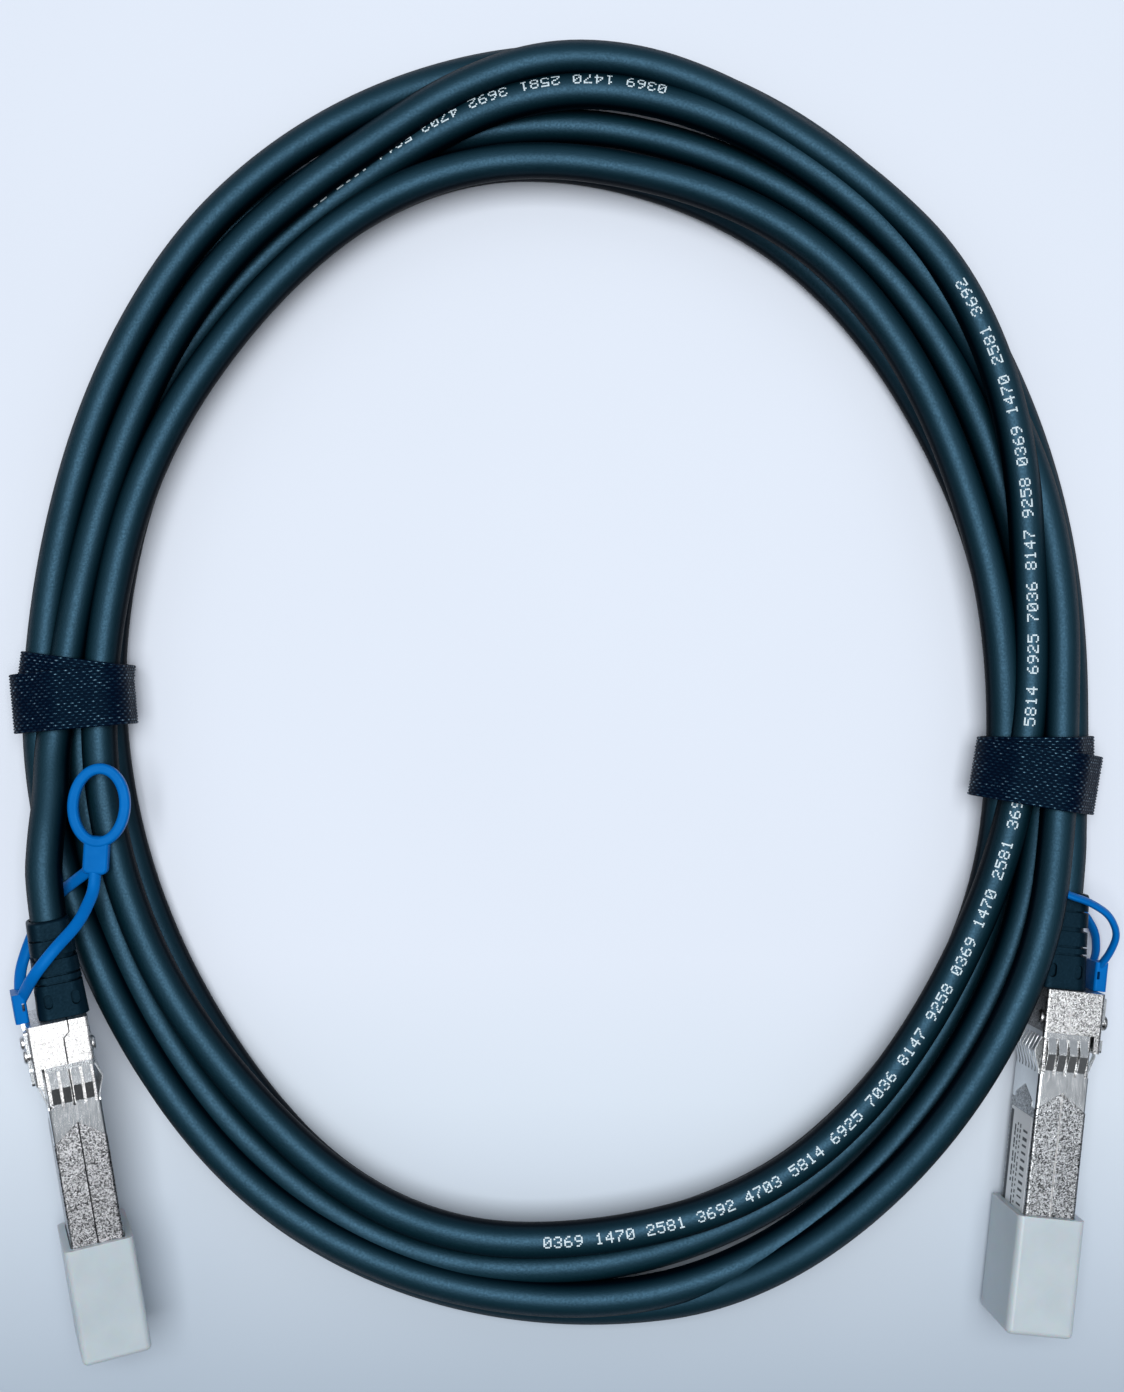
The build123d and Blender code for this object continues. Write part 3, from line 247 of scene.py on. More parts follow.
# Moulded pieces: darker and lighter tone, range of roughness, grain and its depth
PLASTIC_PATCH = 6 * MM
PLASTICS = {
    "boot_rubber": ((0.0004, 0.004, 0.008), (0.0008, 0.006, 0.012), (0.45, 0.60), 0.4 * MM, 0.06 * MM),
    "tab_blue": ((0.0004, 0.105, 0.38), (0.0008, 0.125, 0.44), (0.34, 0.48), 0.8 * MM, 0.02 * MM),
    "cap_skin": ((0.42, 0.49, 0.53), (0.46, 0.53, 0.57), (0.30, 0.36), 6 * MM, 0.01 * MM),
    "label_film": ((0.80, 0.82, 0.84), (0.85, 0.87, 0.88), (0.3, 0.42), 2 * MM, 0.01 * MM),
    "label_ink": ((0.010, 0.014, 0.020), (0.03, 0.04, 0.05), (0.5, 0.6), 0.3 * MM, 0.005 * MM),
    "board": ((0.01, 0.06, 0.03), (0.015, 0.08, 0.04), (0.3, 0.4), 0.5 * MM, 0.01 * MM),
    "chip": ((0.01, 0.01, 0.012), (0.015, 0.015, 0.017), (0.4, 0.5), 0.2 * MM, 0.01 * MM),
    "ceramic": ((0.25, 0.17, 0.10), (0.3, 0.2, 0.12), (0.3, 0.4), 0.2 * MM, 0.01 * MM)}
# Shader values that are the same all over a moulded piece
PLASTIC_SHEENS = {
    "boot_rubber": {"Specular_IOR_Level": 0.2, "Specular_Tint": (0.25, 0.65, 1.0, 1)},
    "tab_blue": {"Specular_IOR_Level": 0.25, "Specular_Tint": (0.1, 0.5, 1.0, 1)},
    "cap_skin": {"Subsurface_Weight": 0.5, "Subsurface_Scale": 2 * MM}}

# Which finish each kind of CAD piece has on both plugs
SHELL_KINDS = ("upper_shell", "lower_shell", "housing_rivets")
SHEET_KINDS = ("emi_collar", "latch_slider", "return_spring")
PLASTIC_KINDS = {"strain_relief": "boot_rubber", "pull_tab": "tab_blue", "dust_cap": "cap_skin",
                 "label_plate": "label_film", "paddle_card": "board", "memory_chip": "chip",
                 "coupling_capacitors": "ceramic"}
FOIL_KINDS = ("crimp_ferrule", "twinax_pairs")


def feed(tree, socket, value):
    """Links another node's output to a socket, or sets the value there."""
    if isinstance(value, bpy.types.NodeSocket):
        tree.links.new(value, socket)
    else:
        socket.default_value = value


def put(tree, kind, settings=None, **inputs):
    """Adds a node; an input may be a value or another node's output."""
    node = tree.nodes.new(kind)
    for name, value in (settings or {}).items():
        setattr(node, name, value)
    for name, value in inputs.items():
        feed(tree, node.inputs[name.replace("_", " ")], value)
    return node


def combine(tree, kind, operation, *values):
    """A Math or VectorMath node that takes its inputs in order."""
    node = put(tree, kind, {"operation": operation})
    for socket, value in zip(node.inputs, values):
        feed(tree, socket, value)
    return node.outputs["Value"]


def mix(tree, share, first, second, blend="MIX"):
    """Mixes two colours."""
    node = put(tree, "ShaderNodeMix", {"data_type": "RGBA", "blend_type": blend},
               Factor=share, A=first, B=second)
    return node.outputs["Result"]


def new_material(name, **sockets):
    """A principled material with uniform values set on its own sockets."""
    material = bpy.data.materials.new(name)
    material.use_nodes = True
    shader = material.node_tree.nodes["Principled BSDF"]
    for key, value in sockets.items():
        shader.inputs[key.replace("_", " ")].default_value = value
    return material, material.node_tree, shader


def place_of(tree):
    return put(tree, "ShaderNodeTexCoord").outputs["Object"]


def part_of(tree, vector, axis):
    """One coordinate of a vector."""
    return put(tree, "ShaderNodeSeparateXYZ", Vector=vector).outputs[axis]


def noise(tree, grain, detail=2.0, vector=None):
    """Noise whose grain is about that many metres across."""
    return put(tree, "ShaderNodeTexNoise", Vector=vector or place_of(tree), Scale=1 / grain,
               Detail=detail).outputs["Fac"]


def ramp(tree, fac, stops):
    """Colour ramp from (place, colour) stops."""
    node = put(tree, "ShaderNodeValToRGB", Fac=fac)
    elements = node.color_ramp.elements
    while len(elements) < len(stops):
        elements.new(0.5)
    for element, (place, colour) in zip(elements, stops):
        element.position = place
        element.color = (*colour, 1) if len(colour) == 3 else colour
    return node.outputs["Color"]


def level(tree, fac, low, high, into=(0.0, 1.0)):
    """Stretches fac from low..high to a new range."""
    return put(tree, "ShaderNodeMapRange", Value=fac, From_Min=low, From_Max=high, To_Min=into[0],
               To_Max=into[1]).outputs["Result"]


def spread(tree, fac, into):
    """Stretches a noise, which keeps near its middle, to a new range."""
    return level(tree, fac, *NOISE_REACH, into)


def bump(tree, shader, height, distance, strength=1.0):
    node = put(tree, "ShaderNodeBump", Height=height, Distance=distance, Strength=strength)
    tree.links.new(node.outputs["Normal"], shader.inputs["Normal"])


def jacket_material():
    """Matt extruded jacket, painted darker and duller on its flanks to match the photograph's contrast."""
    material, tree, shader = new_material("jacket", Specular_Tint=JACKET_TINT)
    upward = part_of(tree, put(tree, "ShaderNodeNewGeometry").outputs["Normal"], "Z")
    # Painted shade on the flanks and painted sheen on top, by how far the surface faces up
    feed(tree, shader.inputs["Base Color"], ramp(tree, upward, JACKET_PAINTED_SHADE_TONES))
    painted_sheen = level(tree, upward, *JACKET_PAINTED_SHEEN_GLOSS[0], JACKET_PAINTED_SHEEN_GLOSS[1])
    patches = spread(tree, noise(tree, JACKET_PATCH, 3), JACKET_PATCH_GLOSS)
    feed(tree, shader.inputs["Specular IOR Level"],
         combine(tree, "ShaderNodeMath", "MULTIPLY", painted_sheen, patches))
    grain = noise(tree, JACKET_GRAIN, 3)
    feed(tree, shader.inputs["Roughness"], spread(tree, grain, JACKET_ROUGHNESS))
    bump(tree, shader, grain, JACKET_GRAIN_DEPTH, 0.6)
    return material


def seam_shade(tree, place, tone, seam):
    """Draws the stepped seam over a casting's tone: a dark joint on plug a, a painted highlight on plug b.
    """
    along, normal, rear, middle, seam_tone = seam
    forward, across = (combine(tree, "ShaderNodeVectorMath", "DOT_PRODUCT", place, axis)
                       for axis in (along, normal))
    ends = (rear + end for end in SEAM_STEP_ENDS)
    stepped = level(tree, forward, *ends, (middle + SEAM_STEP_HEIGHT, middle))
    near = combine(tree, "ShaderNodeMath", "COMPARE", across, stepped, SEAM_HALF)
    return mix(tree, near, tone, seam_tone)


def casting_material(name, skins, seam=None):
    """Nickel plate over a blasted die casting, with a grain contrast of its own on the rear block, and a
    tone of its own there that is painted reflection.
    """
    material, tree, shader = new_material(name, Metallic=1.0)
    place = place_of(tree)
    cells = put(tree, "ShaderNodeTexVoronoi", Vector=place, Scale=1 / CASTING_GRAIN).outputs["Color"]
    grains = put(tree, "ShaderNodeSeparateColor", Color=cells).outputs["Red"]
    low, high = 0.5 - GRAIN_SPREAD, 0.5 + GRAIN_SPREAD
    front, rear = (ramp(tree, grains, ((low, [c * (1 - coarse) for c in colour]), (high, colour)))
                   for colour, coarse in skins)
    # Painted reflection: a tone of its own on the rear block, lighter than the nose's on both plugs
    tone = mix(tree, level(tree, part_of(tree, place, "Y"), *REAR_REFLECTION_FADE), front, rear)
    if seam:
        tone = seam_shade(tree, place, tone, seam)
    feed(tree, shader.inputs["Base Color"], tone)
    feed(tree, shader.inputs["Roughness"],
         spread(tree, noise(tree, CASTING_PATCH, 3, place), CASTING_ROUGHNESS))
    bump(tree, shader, noise(tree, CASTING_GRAIN, 1, place), CASTING_GRAIN_DEPTH, skins[0][1])
    return material


def sheet_material():
    """Smooth plated sheet with faint rolling lines."""
    material, tree, shader = new_material("spring_sheet", Metallic=1.0)
    place = place_of(tree)
    streaks = put(tree, "ShaderNodeMapping", Vector=place, Scale=SHEET_STRETCH).outputs["Vector"]
    lines = noise(tree, SHEET_LINE, 4, streaks)
    feed(tree, shader.inputs["Base Color"], ramp(tree, lines, SHEET_TONES))
    feed(tree, shader.inputs["Roughness"], spread(tree, lines, SHEET_ROUGHNESS))
    bump(tree, shader, noise(tree, SHEET_WAVE, 2, place), SHEET_WAVE_DEPTH, 0.5)
    return material


def plastic_material(name):
    """Moulded plastic: two tones, uneven gloss and a grain of its own."""
    low, high, roughness, grain, depth = PLASTICS[name]
    material, tree, shader = new_material(name, **PLASTIC_SHEENS.get(name, {}))
    tone = ramp(tree, noise(tree, PLASTIC_PATCH, 3), ((0.3, low), (0.7, high)))
    feed(tree, shader.inputs["Base Color"], tone)
    skin = noise(tree, grain, 3)
    feed(tree, shader.inputs["Roughness"], spread(tree, skin, roughness))
    bump(tree, shader, skin, depth, 0.6)
    return material


def corners_of(*nodes):
    """Every point of some CAD nodes' meshes."""
    return [node.matrix_world @ vertex.co for node in nodes for vertex in node.data.vertices]


def nose_direction(side):
    """The direction in which a plug points, from its mount."""
    mount = next(mount for mount in frame["record"]["mounts"] if mount["name"] == f"plug_nose_{side}")
    return Vector(mount["axis"]).normalized()


def seam_line(side):
    """Directions to the nose and across the seam, where rear and seam lie on them, and the seam's tone."""
    along, across = label_frame(side)[1:3]
    normal = along.cross(across).normalized()
    corners = corners_of(NODES[f"upper_shell_{side}"])
    rear = min(corner.dot(along) for corner in corners)
    face = max(corner.dot(normal) for corner in corners)
    return along, normal, rear, face - NOSE_HALF_HEIGHT, SEAM_JOINT_AND_HIGHLIGHT_TONES[side]


def dress(kinds, sides, material):
    """Gives CAD nodes of some kinds their material."""
    for kind in kinds:
        for side in sides:
            data = NODES[f"{kind}_{side}"].data
            data.materials.clear()
            data.materials.append(material)


def dress_plugs():
    for side in SIDES:
        dress(SHELL_KINDS, side, casting_material(f"casting_{side}", CASTING_REFLECTION_TONES_AND_GRAIN[side], seam_line(side)))
    dress(SHEET_KINDS, SIDES, sheet_material())
    for kind, name in PLASTIC_KINDS.items():
        dress([kind], SIDES, plastic_material(name))
    dress(["contact_pads"], SIDES, casting_material("gold", GOLD_SKINS))
    dress(FOIL_KINDS, SIDES, casting_material("foil", FOIL_SKINS))


def press_springs():
    """Gives each plug's return spring a mesh of its own."""
    for side in SIDES:
        spring = NODES[f"return_spring_{side}"]
        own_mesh(spring)


def add_mesh(name, points, faces, material):
    """A mesh object from points and faces, in one material."""
    data = bpy.data.meshes.new(name)
    data.from_pydata([tuple(point) for point in points], [], faces)
    data.materials.append(material)
    made = bpy.data.objects.new(name, data)
    bpy.context.scene.collection.objects.link(made)
    return made


# Straps

STRAP_WIDTH = 10.0 * MM
STRAP_THICKNESS = 1.0 * MM
STRAP_SEAT = 0.1 * MM
# Angle on the coil, skew of the first layer, skew and shift of the second over it
STRAPS = {"strap_left": (-0.8, 8.2, -4.2, -1.8 * MM), "strap_right": (188.5, -8.5, 0.9, 1.5 * MM)}
ROW_PITCH = 0.5 * MM
DASH_PITCH = 1.15 * MM
DASH_RISE = 0.26 * MM
ROW_SAMPLES = 4
DASH_SAMPLES = 4
TURNDOWN_SHARE = 0.6
# Sides of the circles that stand for the passes, and points on each side that give the tape's direction
CIRCLE_SIDES = 48
RUN_REACH = 3
# How far either way from the bundle's middle a pass belongs to it
BUNDLE_REACH = COIL_HALF_WIDTH / 4
# Weights and scale of the fixed unevenness of stitches and marks
WOBBLE_WEIGHTS = (12.9898, 78.233, 37.719)
WOBBLE_SCALE = 43758.5453
# Tape threads: size, depth, and tone by how high a loop stands; the lightest tone is a painted glint on the
# loops' crests
THREAD_GRAIN = 0.25 * MM
THREAD_DEPTH = 0.03 * MM
TAPE_TINT = (0.3, 0.75, 1.0, 1)
TAPE_TONES_AND_PAINTED_GLINT = ((0.45, (0.0003, 0.002, 0.010)), (0.80, (0.002, 0.012, 0.030)), (0.97, (0.16, 0.26, 0.33)))


def convex_hull(points):
    """Corners of the smallest convex outline round the points, anticlockwise."""
    points = sorted(set(points))

    def chain(ordered):
        kept = []
        for point in ordered:
            while len(kept) > 1 and turn_of(kept[-2], kept[-1], point) <= 0:
                kept.pop()
            kept.append(point)
        return kept[:-1]

    return chain(points) + chain(points[::-1])


def turn_of(a, b, c):
    return (b[0] - a[0]) * (c[1] - a[1]) - (b[1] - a[1]) * (c[0] - a[0])


def bundle_outline(plane, line, clear):
    """Outline of a tight band round the passes that cross a plane, at a clearance from them."""
    origin, outwards, along = plane
    circles = []
    for first, second in zip(line, line[1:]):
        low, high = (first - origin).dot(along), (second - origin).dot(along)
        if low * high > 0 or low == high:
            continue
        crossing = first.lerp(second, low / (low - high))
        across = (crossing - origin).dot(outwards)
        if abs(across) < BUNDLE_REACH:
            circles.append((across, crossing.z))
    rim = CABLE_DIAMETER / 2 + clear
    points = []
    for x, z in circles:
        for index in range(CIRCLE_SIDES):
            turn = math.tau * index / CIRCLE_SIDES
            points.append((x + rim * math.cos(turn), max(z + rim * math.sin(turn), STRAP_THICKNESS + clear)))
    return convex_hull(points)


def even_steps(points, step, closed=True):
    """Points at even distances along an outline."""
    ring = [Vector((x, 0, z)) for x, z in points]
    if closed:
        ring.append(ring[0])
    lengths = [0]
    for a, b in zip(ring, ring[1:]):
        lengths.append(lengths[-1] + (b - a).length)
    count = round(lengths[-1] / step)
    places, index = [], 0
    for number in range(count + (0 if closed else 1)):
        target = lengths[-1] * number / count
        while index < len(ring) - 2 and lengths[index + 1] < target:
            index += 1
        part = (target - lengths[index]) / (lengths[index + 1] - lengths[index])
        places.append(ring[index].lerp(ring[index + 1], part))
    return places


def wobble(*seeds):
    """A fixed unevenness between 0 and 1 for a numbered stitch."""
    value = math.sin(sum(seed * weight for seed, weight in zip(seeds, WOBBLE_WEIGHTS))) * WOBBLE_SCALE
    return value - math.floor(value)


def weave_rise(row, place, layer):
    """Height of the hook tape's loops at a row and a place along the tape."""
    dash = place / DASH_PITCH + (row % 2) / 2
    number = math.floor(dash)
    body = math.sin(math.pi * (dash - number)) ** 0.7
    return DASH_RISE * (0.3 + 0.7 * body) * (0.75 + 0.25 * wobble(row, number, layer))


def band_mesh(bottoms, rises, closed):
    """Faces of a band from grids of its under side and of its woven top."""
    rows, columns = len(bottoms), len(bottoms[0])
    points = [point for grid in (bottoms, rises) for line in grid for point in line]

    def at(grid, row, column):
        return grid * rows * columns + (row % rows) * columns + column

    faces = []
    last = rows if closed else rows - 1
    for row in range(last):
        for column in range(columns - 1):
            corners = ((row, column), (row + 1, column), (row + 1, column + 1), (row, column + 1))
            faces.append([at(1, *corner) for corner in corners])
            faces.append([at(0, *corner) for corner in corners[::-1]])
        for column, order in ((0, 1), (columns - 1, -1)):
            edge = [at(0, row, column), at(0, row + 1, column), at(1, row + 1, column), at(1, row, column)]
            faces.append(edge[::order])
    if not closed:
        for row, order in ((0, -1), (rows - 1, 1)):
            for column in range(columns - 1):
                edge = [at(0, row, column), at(0, row, column + 1),
                        at(1, row, column + 1), at(1, row, column)]
                faces.append(edge[::order])
    return points, faces


def strap_layer(plane, line, clear, turned, layer, shift=0):
    """One layer of a strap as points, faces and each point's share of the loops' rise."""
    outline = bundle_outline(plane, line, clear)
    origin, outwards, along = plane
    ring = even_steps(outline, DASH_PITCH / DASH_SAMPLES)
    if turned:
        low = (1 - TURNDOWN_SHARE) * max(point.z for point in ring)
        start = next(index for index, point in enumerate(ring)
                     if point.z > low >= ring[index - 1].z)
        ring = ring[start:] + ring[:start]
        ring = ring[:next(index for index, point in enumerate(ring) if point.z < low)]
    row_count = round(STRAP_WIDTH / ROW_PITCH)
    columns = row_count * ROW_SAMPLES
    count = len(ring)
    bottoms, tops, rises = [], [], []
    for index, point in enumerate(ring):
        around = (index - RUN_REACH, index + RUN_REACH)
        before, after = (ring[min(max(near, 0), count - 1) if turned else near % count] for near in around)
        run = (after - before).normalized()
        normal = Vector((run.z, 0, -run.x))
        place = index * DASH_PITCH / DASH_SAMPLES
        under, over = [], []
        for column in range(columns + 1):
            across = column / ROW_SAMPLES
            row = min(int(across), row_count - 1)
            rib = math.sin(math.pi * (across - row)) ** 0.5 if 0 < across - row < 1 else 0
            rise = weave_rise(row, place, layer) * rib
            rises.append(rise / DASH_RISE)
            base = point + normal * (STRAP_THICKNESS - DASH_RISE + rise)
            aside = along * ((across / row_count - 0.5) * STRAP_WIDTH + shift)
            under.append(origin + outwards * point.x + Vector((0, 0, point.z)) + aside)
            over.append(origin + outwards * base.x + Vector((0, 0, base.z)) + aside)
        bottoms.append(under)
        tops.append(over)
    return *band_mesh(bottoms, tops, not turned), [0.0] * len(rises) + rises


def strap_plane(angle, skew):
    """Origin on the table, direction outwards and direction along the bundle."""
    middle = coil_point(angle, 0.9, 0)
    turn = math.radians(angle + skew)
    outwards = Vector((-math.cos(turn), math.sin(turn), 0))
    return middle, outwards, outwards.cross(Vector((0, 0, 1)))


def add_strap(name, line, material):
    """A strap's two layers as one piece, in the place of its plain CAD solid."""
    angle, skew, flap_skew, flap_shift = STRAPS[name]
    points, faces, rises = strap_layer(strap_plane(angle, skew), line, STRAP_SEAT, False, 0)
    over = STRAP_SEAT + STRAP_THICKNESS
    flap = strap_layer(strap_plane(angle, flap_skew), line, over, True, 1, flap_shift)
    faces += [[index + len(points) for index in face] for face in flap[1]]
    strap = add_mesh(name + "_tape", points + flap[0], faces, material)
    strap.data.polygons.foreach_set("use_smooth", [True] * len(faces))
    strap.data.attributes.new("rise", "FLOAT", "POINT").data.foreach_set("value", rises + flap[2])
    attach(strap, "root")
    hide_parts(name)


def strap_material():
    """Black nylon tape: near-black threads whose crests catch the light, through their gloss and a painted
    glint in their colour.
    """
    material, tree, shader = new_material("hook_tape", Specular_IOR_Level=0.3, Specular_Tint=TAPE_TINT)
    rise = put(tree, "ShaderNodeAttribute", {"attribute_name": "rise"}).outputs["Fac"]
    threads = noise(tree, THREAD_GRAIN, 3)
    uneven = level(tree, threads, 0.3, 0.65, (0.72, 1.06))
    crest = combine(tree, "ShaderNodeMath", "MULTIPLY", rise, uneven)
    # Painted glint: the colour lightens on the loops' crests
    feed(tree, shader.inputs["Base Color"], ramp(tree, crest, TAPE_TONES_AND_PAINTED_GLINT))
    feed(tree, shader.inputs["Roughness"], level(tree, crest, 0.5, 1.0, (0.55, 0.28)))
    feed(tree, shader.inputs["Specular IOR Level"], level(tree, crest, 0.6, 1.0, (0.08, 0.8)))
    bump(tree, shader, threads, THREAD_DEPTH, 0.5)
    return material


# Printed marks on the cord

GLYPH_HEIGHT = 1.9 * MM
GLYPH_ADVANCE_SHARE = 0.92
DOT_FILL_SHARE = 0.95
PRINT_RISE = 0.02 * MM
# Places in a group of digits, the last of them empty, and the count from one digit to the next
GROUP = 5
GROUP_STEP = 3
INK_WEAR = 0.3 * MM
INK_TONES = ((0.3, (0.36, 0.46, 0.52)), (0.55, (0.62, 0.74, 0.80)))
DIGITS = (
    ("01110", "10001", "10011", "10101", "11001", "10001", "01110"),
    ("00100", "01100", "00100", "00100", "00100", "00100", "01110"),
    ("01110", "10001", "00001", "00110", "01000", "10000", "11111"),
    ("01110", "10001", "00001", "00110", "00001", "10001", "01110"),
    ("00010", "00110", "01010", "10010", "11111", "00010", "00010"),
    ("11111", "10000", "11110", "00001", "00001", "10001", "01110"),
    ("00110", "01000", "10000", "11110", "10001", "10001", "01110"),
    ("11111", "00001", "00010", "00100", "01000", "01000", "01000"),
    ("01110", "10001", "10001", "01110", "10001", "10001", "01110"),
    ("01110", "10001", "10001", "01111", "00001", "00010", "01100"))
# Stretches with print: start and end angle on the lay, and how far round the cord it lies, in degrees
PRINTS = ((272, 139, 6), (1182, 1138, -24))


def lay_angles(line):
    """Angle on the coil of each point of the line, counted on through the turns."""
    angles = []
    for point in line:
        angle = math.degrees(math.atan2((point.y - COIL_CENTER[1]) / COIL_HALF_LENGTH,
                                        (COIL_CENTER[0] - point.x) / COIL_HALF_WIDTH))
        if angles:
            angle += 360 * round((angles[-1] - angle) / 360)
        angles.append(angle)
    return angles


def print_frame(line, place, lengths):
    """Point, direction and side of the line at a length along it."""
    index = min(max(bisect.bisect_right(lengths, place) - 1, 0), len(line) - 2)
    part = (place - lengths[index]) / (lengths[index + 1] - lengths[index])
    run = (line[index + 1] - line[index]).normalized()
    side = run.cross(Vector((0, 0, 1))).normalized()
    return line[index].lerp(line[index + 1], part), run, side


def add_print(line, material):
    """Rows of dots that make plain counting digits, laid on the cord's skin."""
    lengths = [0]
    for first, second in zip(line, line[1:]):
        lengths.append(lengths[-1] + (second - first).length)
    angles = lay_angles(line)
    dot = GLYPH_HEIGHT / 7
    skin = CABLE_DIAMETER / 2 + PRINT_RISE
    points, faces = [], []
    for *ends, lean in PRINTS:
        start, end = (lengths[min(range(len(line)), key=lambda i: abs(angles[i] - wanted))]
                      for wanted in ends)
        advance = GLYPH_HEIGHT * GLYPH_ADVANCE_SHARE
        for number in range(int(abs(end - start) / advance)):
            if number % GROUP == GROUP - 1:
                continue
            digit = DIGITS[(number // GROUP + number % GROUP * GROUP_STEP) % len(DIGITS)]
            for row, cells in enumerate(digit):
                for column, cell in enumerate(cells):
                    if cell == "0":
                        continue
                    place = start - number * advance - column * dot
                    center, run, side = print_frame(line, place, lengths)
                    up = side.cross(run)
                    round_by = math.radians(lean) + (3 - row) * dot / skin
                    for along, aside in ((-1, -1), (1, -1), (1, 1), (-1, 1)):
                        turn = round_by + aside * dot * DOT_FILL_SHARE / 2 / skin
                        points.append(center + (up * math.cos(turn) + side * math.sin(turn)) * skin
                                      + run * (along * dot * DOT_FILL_SHARE / 2))
                    faces.append(list(range(len(points) - 4, len(points))))
    marks = add_mesh("cable_print", points, faces, material)
    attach(marks, "root")


def print_material():
    material, tree, shader = new_material("print_ink", Roughness=0.6)
    feed(tree, shader.inputs["Base Color"], ramp(tree, noise(tree, INK_WEAR, 3), INK_TONES))
    return material


# Plain bars on the labels

# Bars, rows of short marks and a border line: place across the label, width across it, and the
# start, length and pitch of the marks along it, all as shares of the label's width and length
LABEL_MARKS = ((0.26, 0.20, (0.10, 0.016, 0.045, 17)), (0.02, 0.05, (0.08, 0.020, 0.034, 24)),
               (-0.10, 0.05, (0.08, 0.026, 0.038, 18)), (-0.22, 0.06, (0.10, 0.030, 0.042, 9)),
               (-0.43, 0.12, (0.02, 0.960, 1.0, 1)))
LABEL_RISE = 0.02 * MM
# The shortest of the uneven marks and how much longer others get
LEAST_MARK_SHARE = 0.6
MARK_SPREAD_SHARE = 0.8


def middle_of(points):
    return sum(points, Vector()) / len(points)


def label_frame(side):
    """Middle of a label's face, directions to the nose and across it, and its length and width."""
    along = nose_direction(side)
    plate = NODES[f"label_plate_{side}"]
    corners = corners_of(plate)
    core = middle_of(corners)
    body = middle_of(corners_of(NODES[f"upper_shell_{side}"], NODES[f"lower_shell_{side}"]))
    face = max(plate.data.polygons, key=lambda face: face.area)
    normal = (plate.matrix_world.to_3x3() @ face.normal).normalized()
    if normal.dot(core - body) < 0:
        normal = -normal
    across = normal.cross(along)
    reach = [[(corner - core).dot(axis) for corner in corners] for axis in (along, across, normal)]
    length, width = (max(row) - min(row) for row in reach[:2])
    return core + normal * (max(reach[2]) + LABEL_RISE), along, across, length, width


def add_label_marks(side, material):
    """Short plain marks in rows on a label, which spell nothing."""
    middle, along, across, length, width = label_frame(side)
    points, faces = [], []
    for place, breadth, (start, mark, pitch, count) in LABEL_MARKS:
        for number in range(count):
            uneven = LEAST_MARK_SHARE + MARK_SPREAD_SHARE * wobble(number, place)
            wide = mark * uneven if count > 1 else mark
            begin = start + number * pitch - 0.5
            for x, y in ((begin, -0.5), (begin + wide, -0.5), (begin + wide, 0.5), (begin, 0.5)):
                points.append(middle + along * (x * length) + across * ((place + y * breadth) * width))
            faces.append(list(range(len(points) - 4, len(points))))
    marks = add_mesh(f"label_marks_{side}", points, faces, material)
    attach(marks, "root")


def center_line(route):
    """Points of the cord's own smooth line."""
    bare = spline_curve("bare", route)
    data = bpy.data.meshes.new_from_object(bare)
    line = [vertex.co.copy() for vertex in data.vertices]
    bpy.data.objects.remove(bare)
    bpy.data.meshes.remove(data)
    return line


# Table and light

FLOOR_HALF = 1.2
# Painted shadow: the table darkens towards the front, over this stretch of Y
FLOOR_SHADOW_FADE = (-75 * MM, 5 * MM)
FLOOR_TONES_AND_SHADOW = ((0.0, (0.35, 0.42, 0.50)), (0.7, (0.61, 0.68, 0.765)), (1.0, (0.665, 0.72, 0.81)))
FLOOR_PATCH = 90 * MM
FLOOR_PATCH_TONES = ((0.3, (0.98, 0.98, 0.98)), (0.7, (1.0, 1.0, 1.0)))

# The room: walls from front to back, ceiling from its edge to overhead, where the walls end, and how
# far the ceiling opens from the front
WALL_TONES = ((0.0, (0.03, 0.025, 0.02)), (0.45, (0.07, 0.07, 0.08)), (1.0, (0.30, 0.35, 0.40)))
WALL_FADE = (-0.7, 0.7)
CEILING_TONES = ((0.80, (0.88, 0.92, 0.98)), (0.97, (0.42, 0.44, 0.48)))
CEILING_EDGE = (0.25, 0.65)
CEILING_OPENING = (-0.55, -0.25)
OPENING_SHARES = (0.25, 1.0)
ROOM_STRENGTH = 0.5
# The lamp over the camera's foot: how far behind it and how high, its size and its power in watts
LAMP_BACK = 0.05
LAMP_HEIGHT = 1.1
LAMP_SIZE = 0.7
LAMP_POWER = 12.4


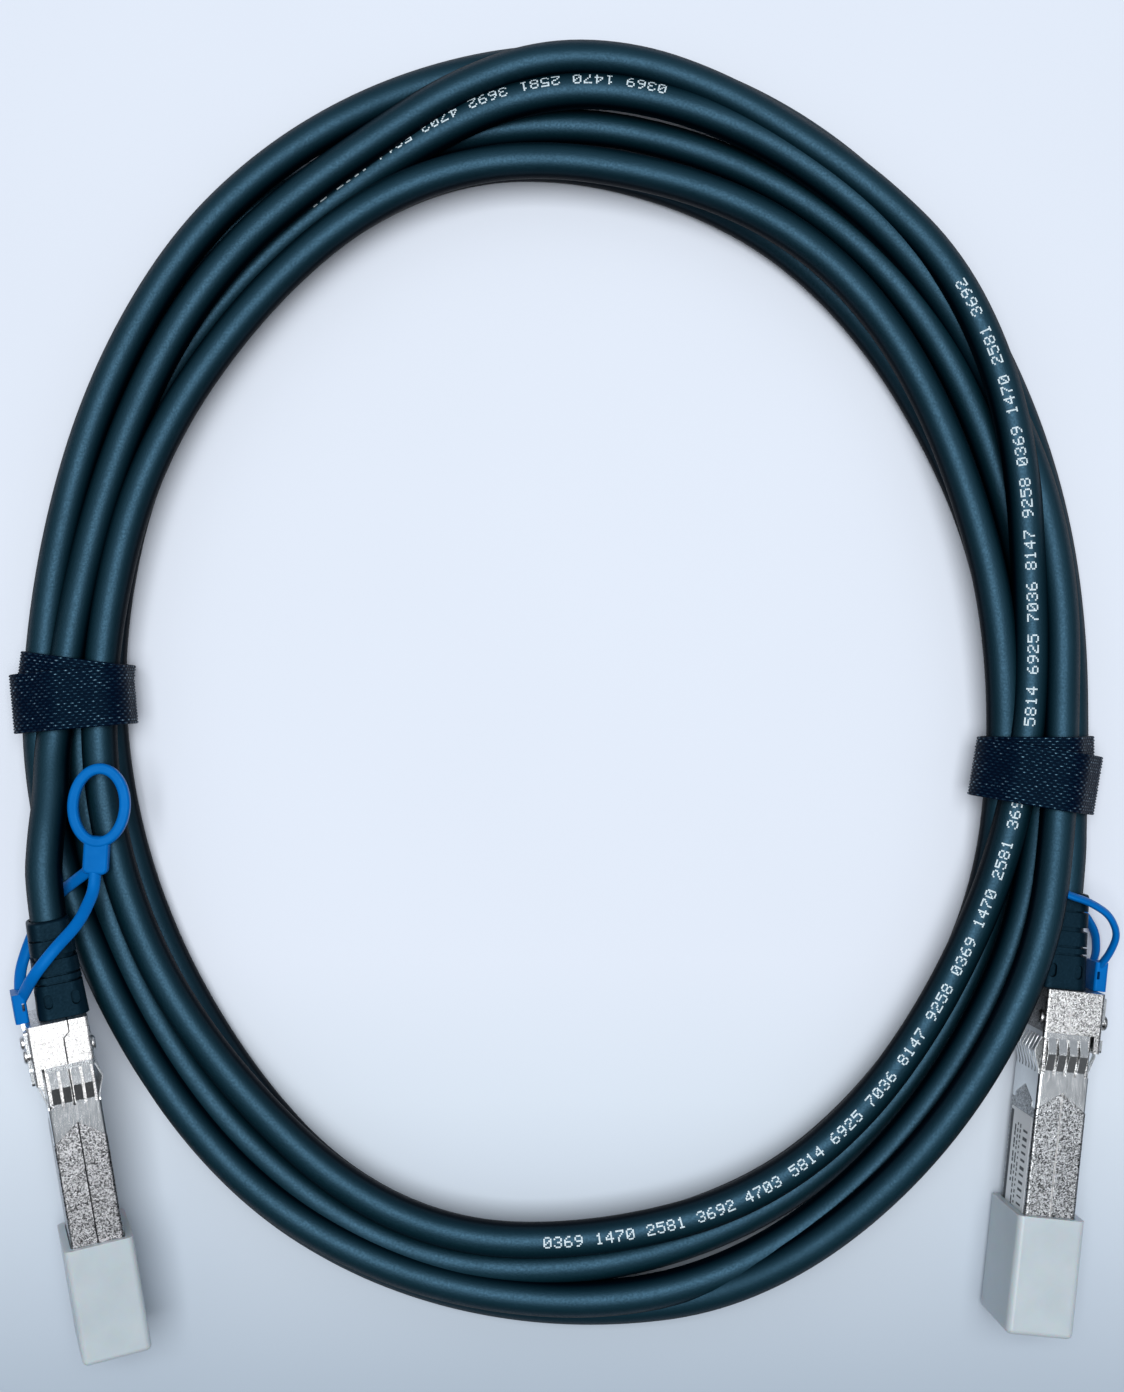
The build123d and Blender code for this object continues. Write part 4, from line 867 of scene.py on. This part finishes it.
def add_stage():
    """Plain pale table, with a painted shadow that makes it a little darker towards the front."""
    x, y = CAMERA_PLACE[:2]
    corners = [(x + FLOOR_HALF * a, y + FLOOR_HALF * b, 0) for a, b in ((-1, -1), (1, -1), (1, 1), (-1, 1))]
    material, tree, shader = new_material("table", Roughness=0.7, Specular_IOR_Level=0.2)
    rise = part_of(tree, place_of(tree), "Y")
    # Painted shadow: darker towards the front
    tone = ramp(tree, level(tree, rise, *FLOOR_SHADOW_FADE), FLOOR_TONES_AND_SHADOW)
    soft = ramp(tree, noise(tree, FLOOR_PATCH, 2), FLOOR_PATCH_TONES)
    feed(tree, shader.inputs["Base Color"], mix(tree, 1.0, tone, soft, "MULTIPLY"))
    add_mesh("floor", corners, [(0, 1, 2, 3)], material)


def add_lamp():
    """A square soft lamp overhead that faces the camera's foot."""
    x, y = CAMERA_PLACE[:2]
    place = Vector((x, y + LAMP_BACK, LAMP_HEIGHT))
    data = bpy.data.lights.new("overhead", "AREA")
    data.shape = "SQUARE"
    data.size = LAMP_SIZE
    data.energy = LAMP_POWER
    lamp = bpy.data.objects.new("overhead", data)
    lamp.location = place
    lamp.rotation_euler = (Vector((x, y, 0)) - place).to_track_quat("-Z", "Y").to_euler()
    bpy.context.scene.collection.objects.link(lamp)


def add_room():
    """The room's light: dark in front, paler behind, and brightest from overhead."""
    world = bpy.data.worlds.new("room")
    bpy.context.scene.world = world
    world.use_nodes = True
    tree = world.node_tree
    background = tree.nodes["Background"]
    ways = put(tree, "ShaderNodeSeparateXYZ", Vector=put(tree, "ShaderNodeTexCoord").outputs["Generated"])
    walls = ramp(tree, level(tree, ways.outputs["Y"], *WALL_FADE), WALL_TONES)
    ceiling = ramp(tree, ways.outputs["Z"], CEILING_TONES)
    raised = level(tree, ways.outputs["Z"], *CEILING_EDGE)
    opened = level(tree, ways.outputs["Y"], *CEILING_OPENING, OPENING_SHARES)
    overhead = combine(tree, "ShaderNodeMath", "MULTIPLY", raised, opened)
    feed(tree, background.inputs["Color"], mix(tree, overhead, walls, ceiling))
    background.inputs["Strength"].default_value = ROOM_STRENGTH


add_camera()
cable, route = add_cable()
cable.data.materials.append(jacket_material())
line = center_line(route)
tape = strap_material()
for name in STRAPS:
    add_strap(name, line, tape)
add_print(line, print_material())
ink = plastic_material("label_ink")
for side in SIDES:
    add_label_marks(side, ink)
press_springs()
dress_plugs()
add_stage()
add_lamp()
add_room()
bpy.context.scene.view_settings.view_transform = "Standard"
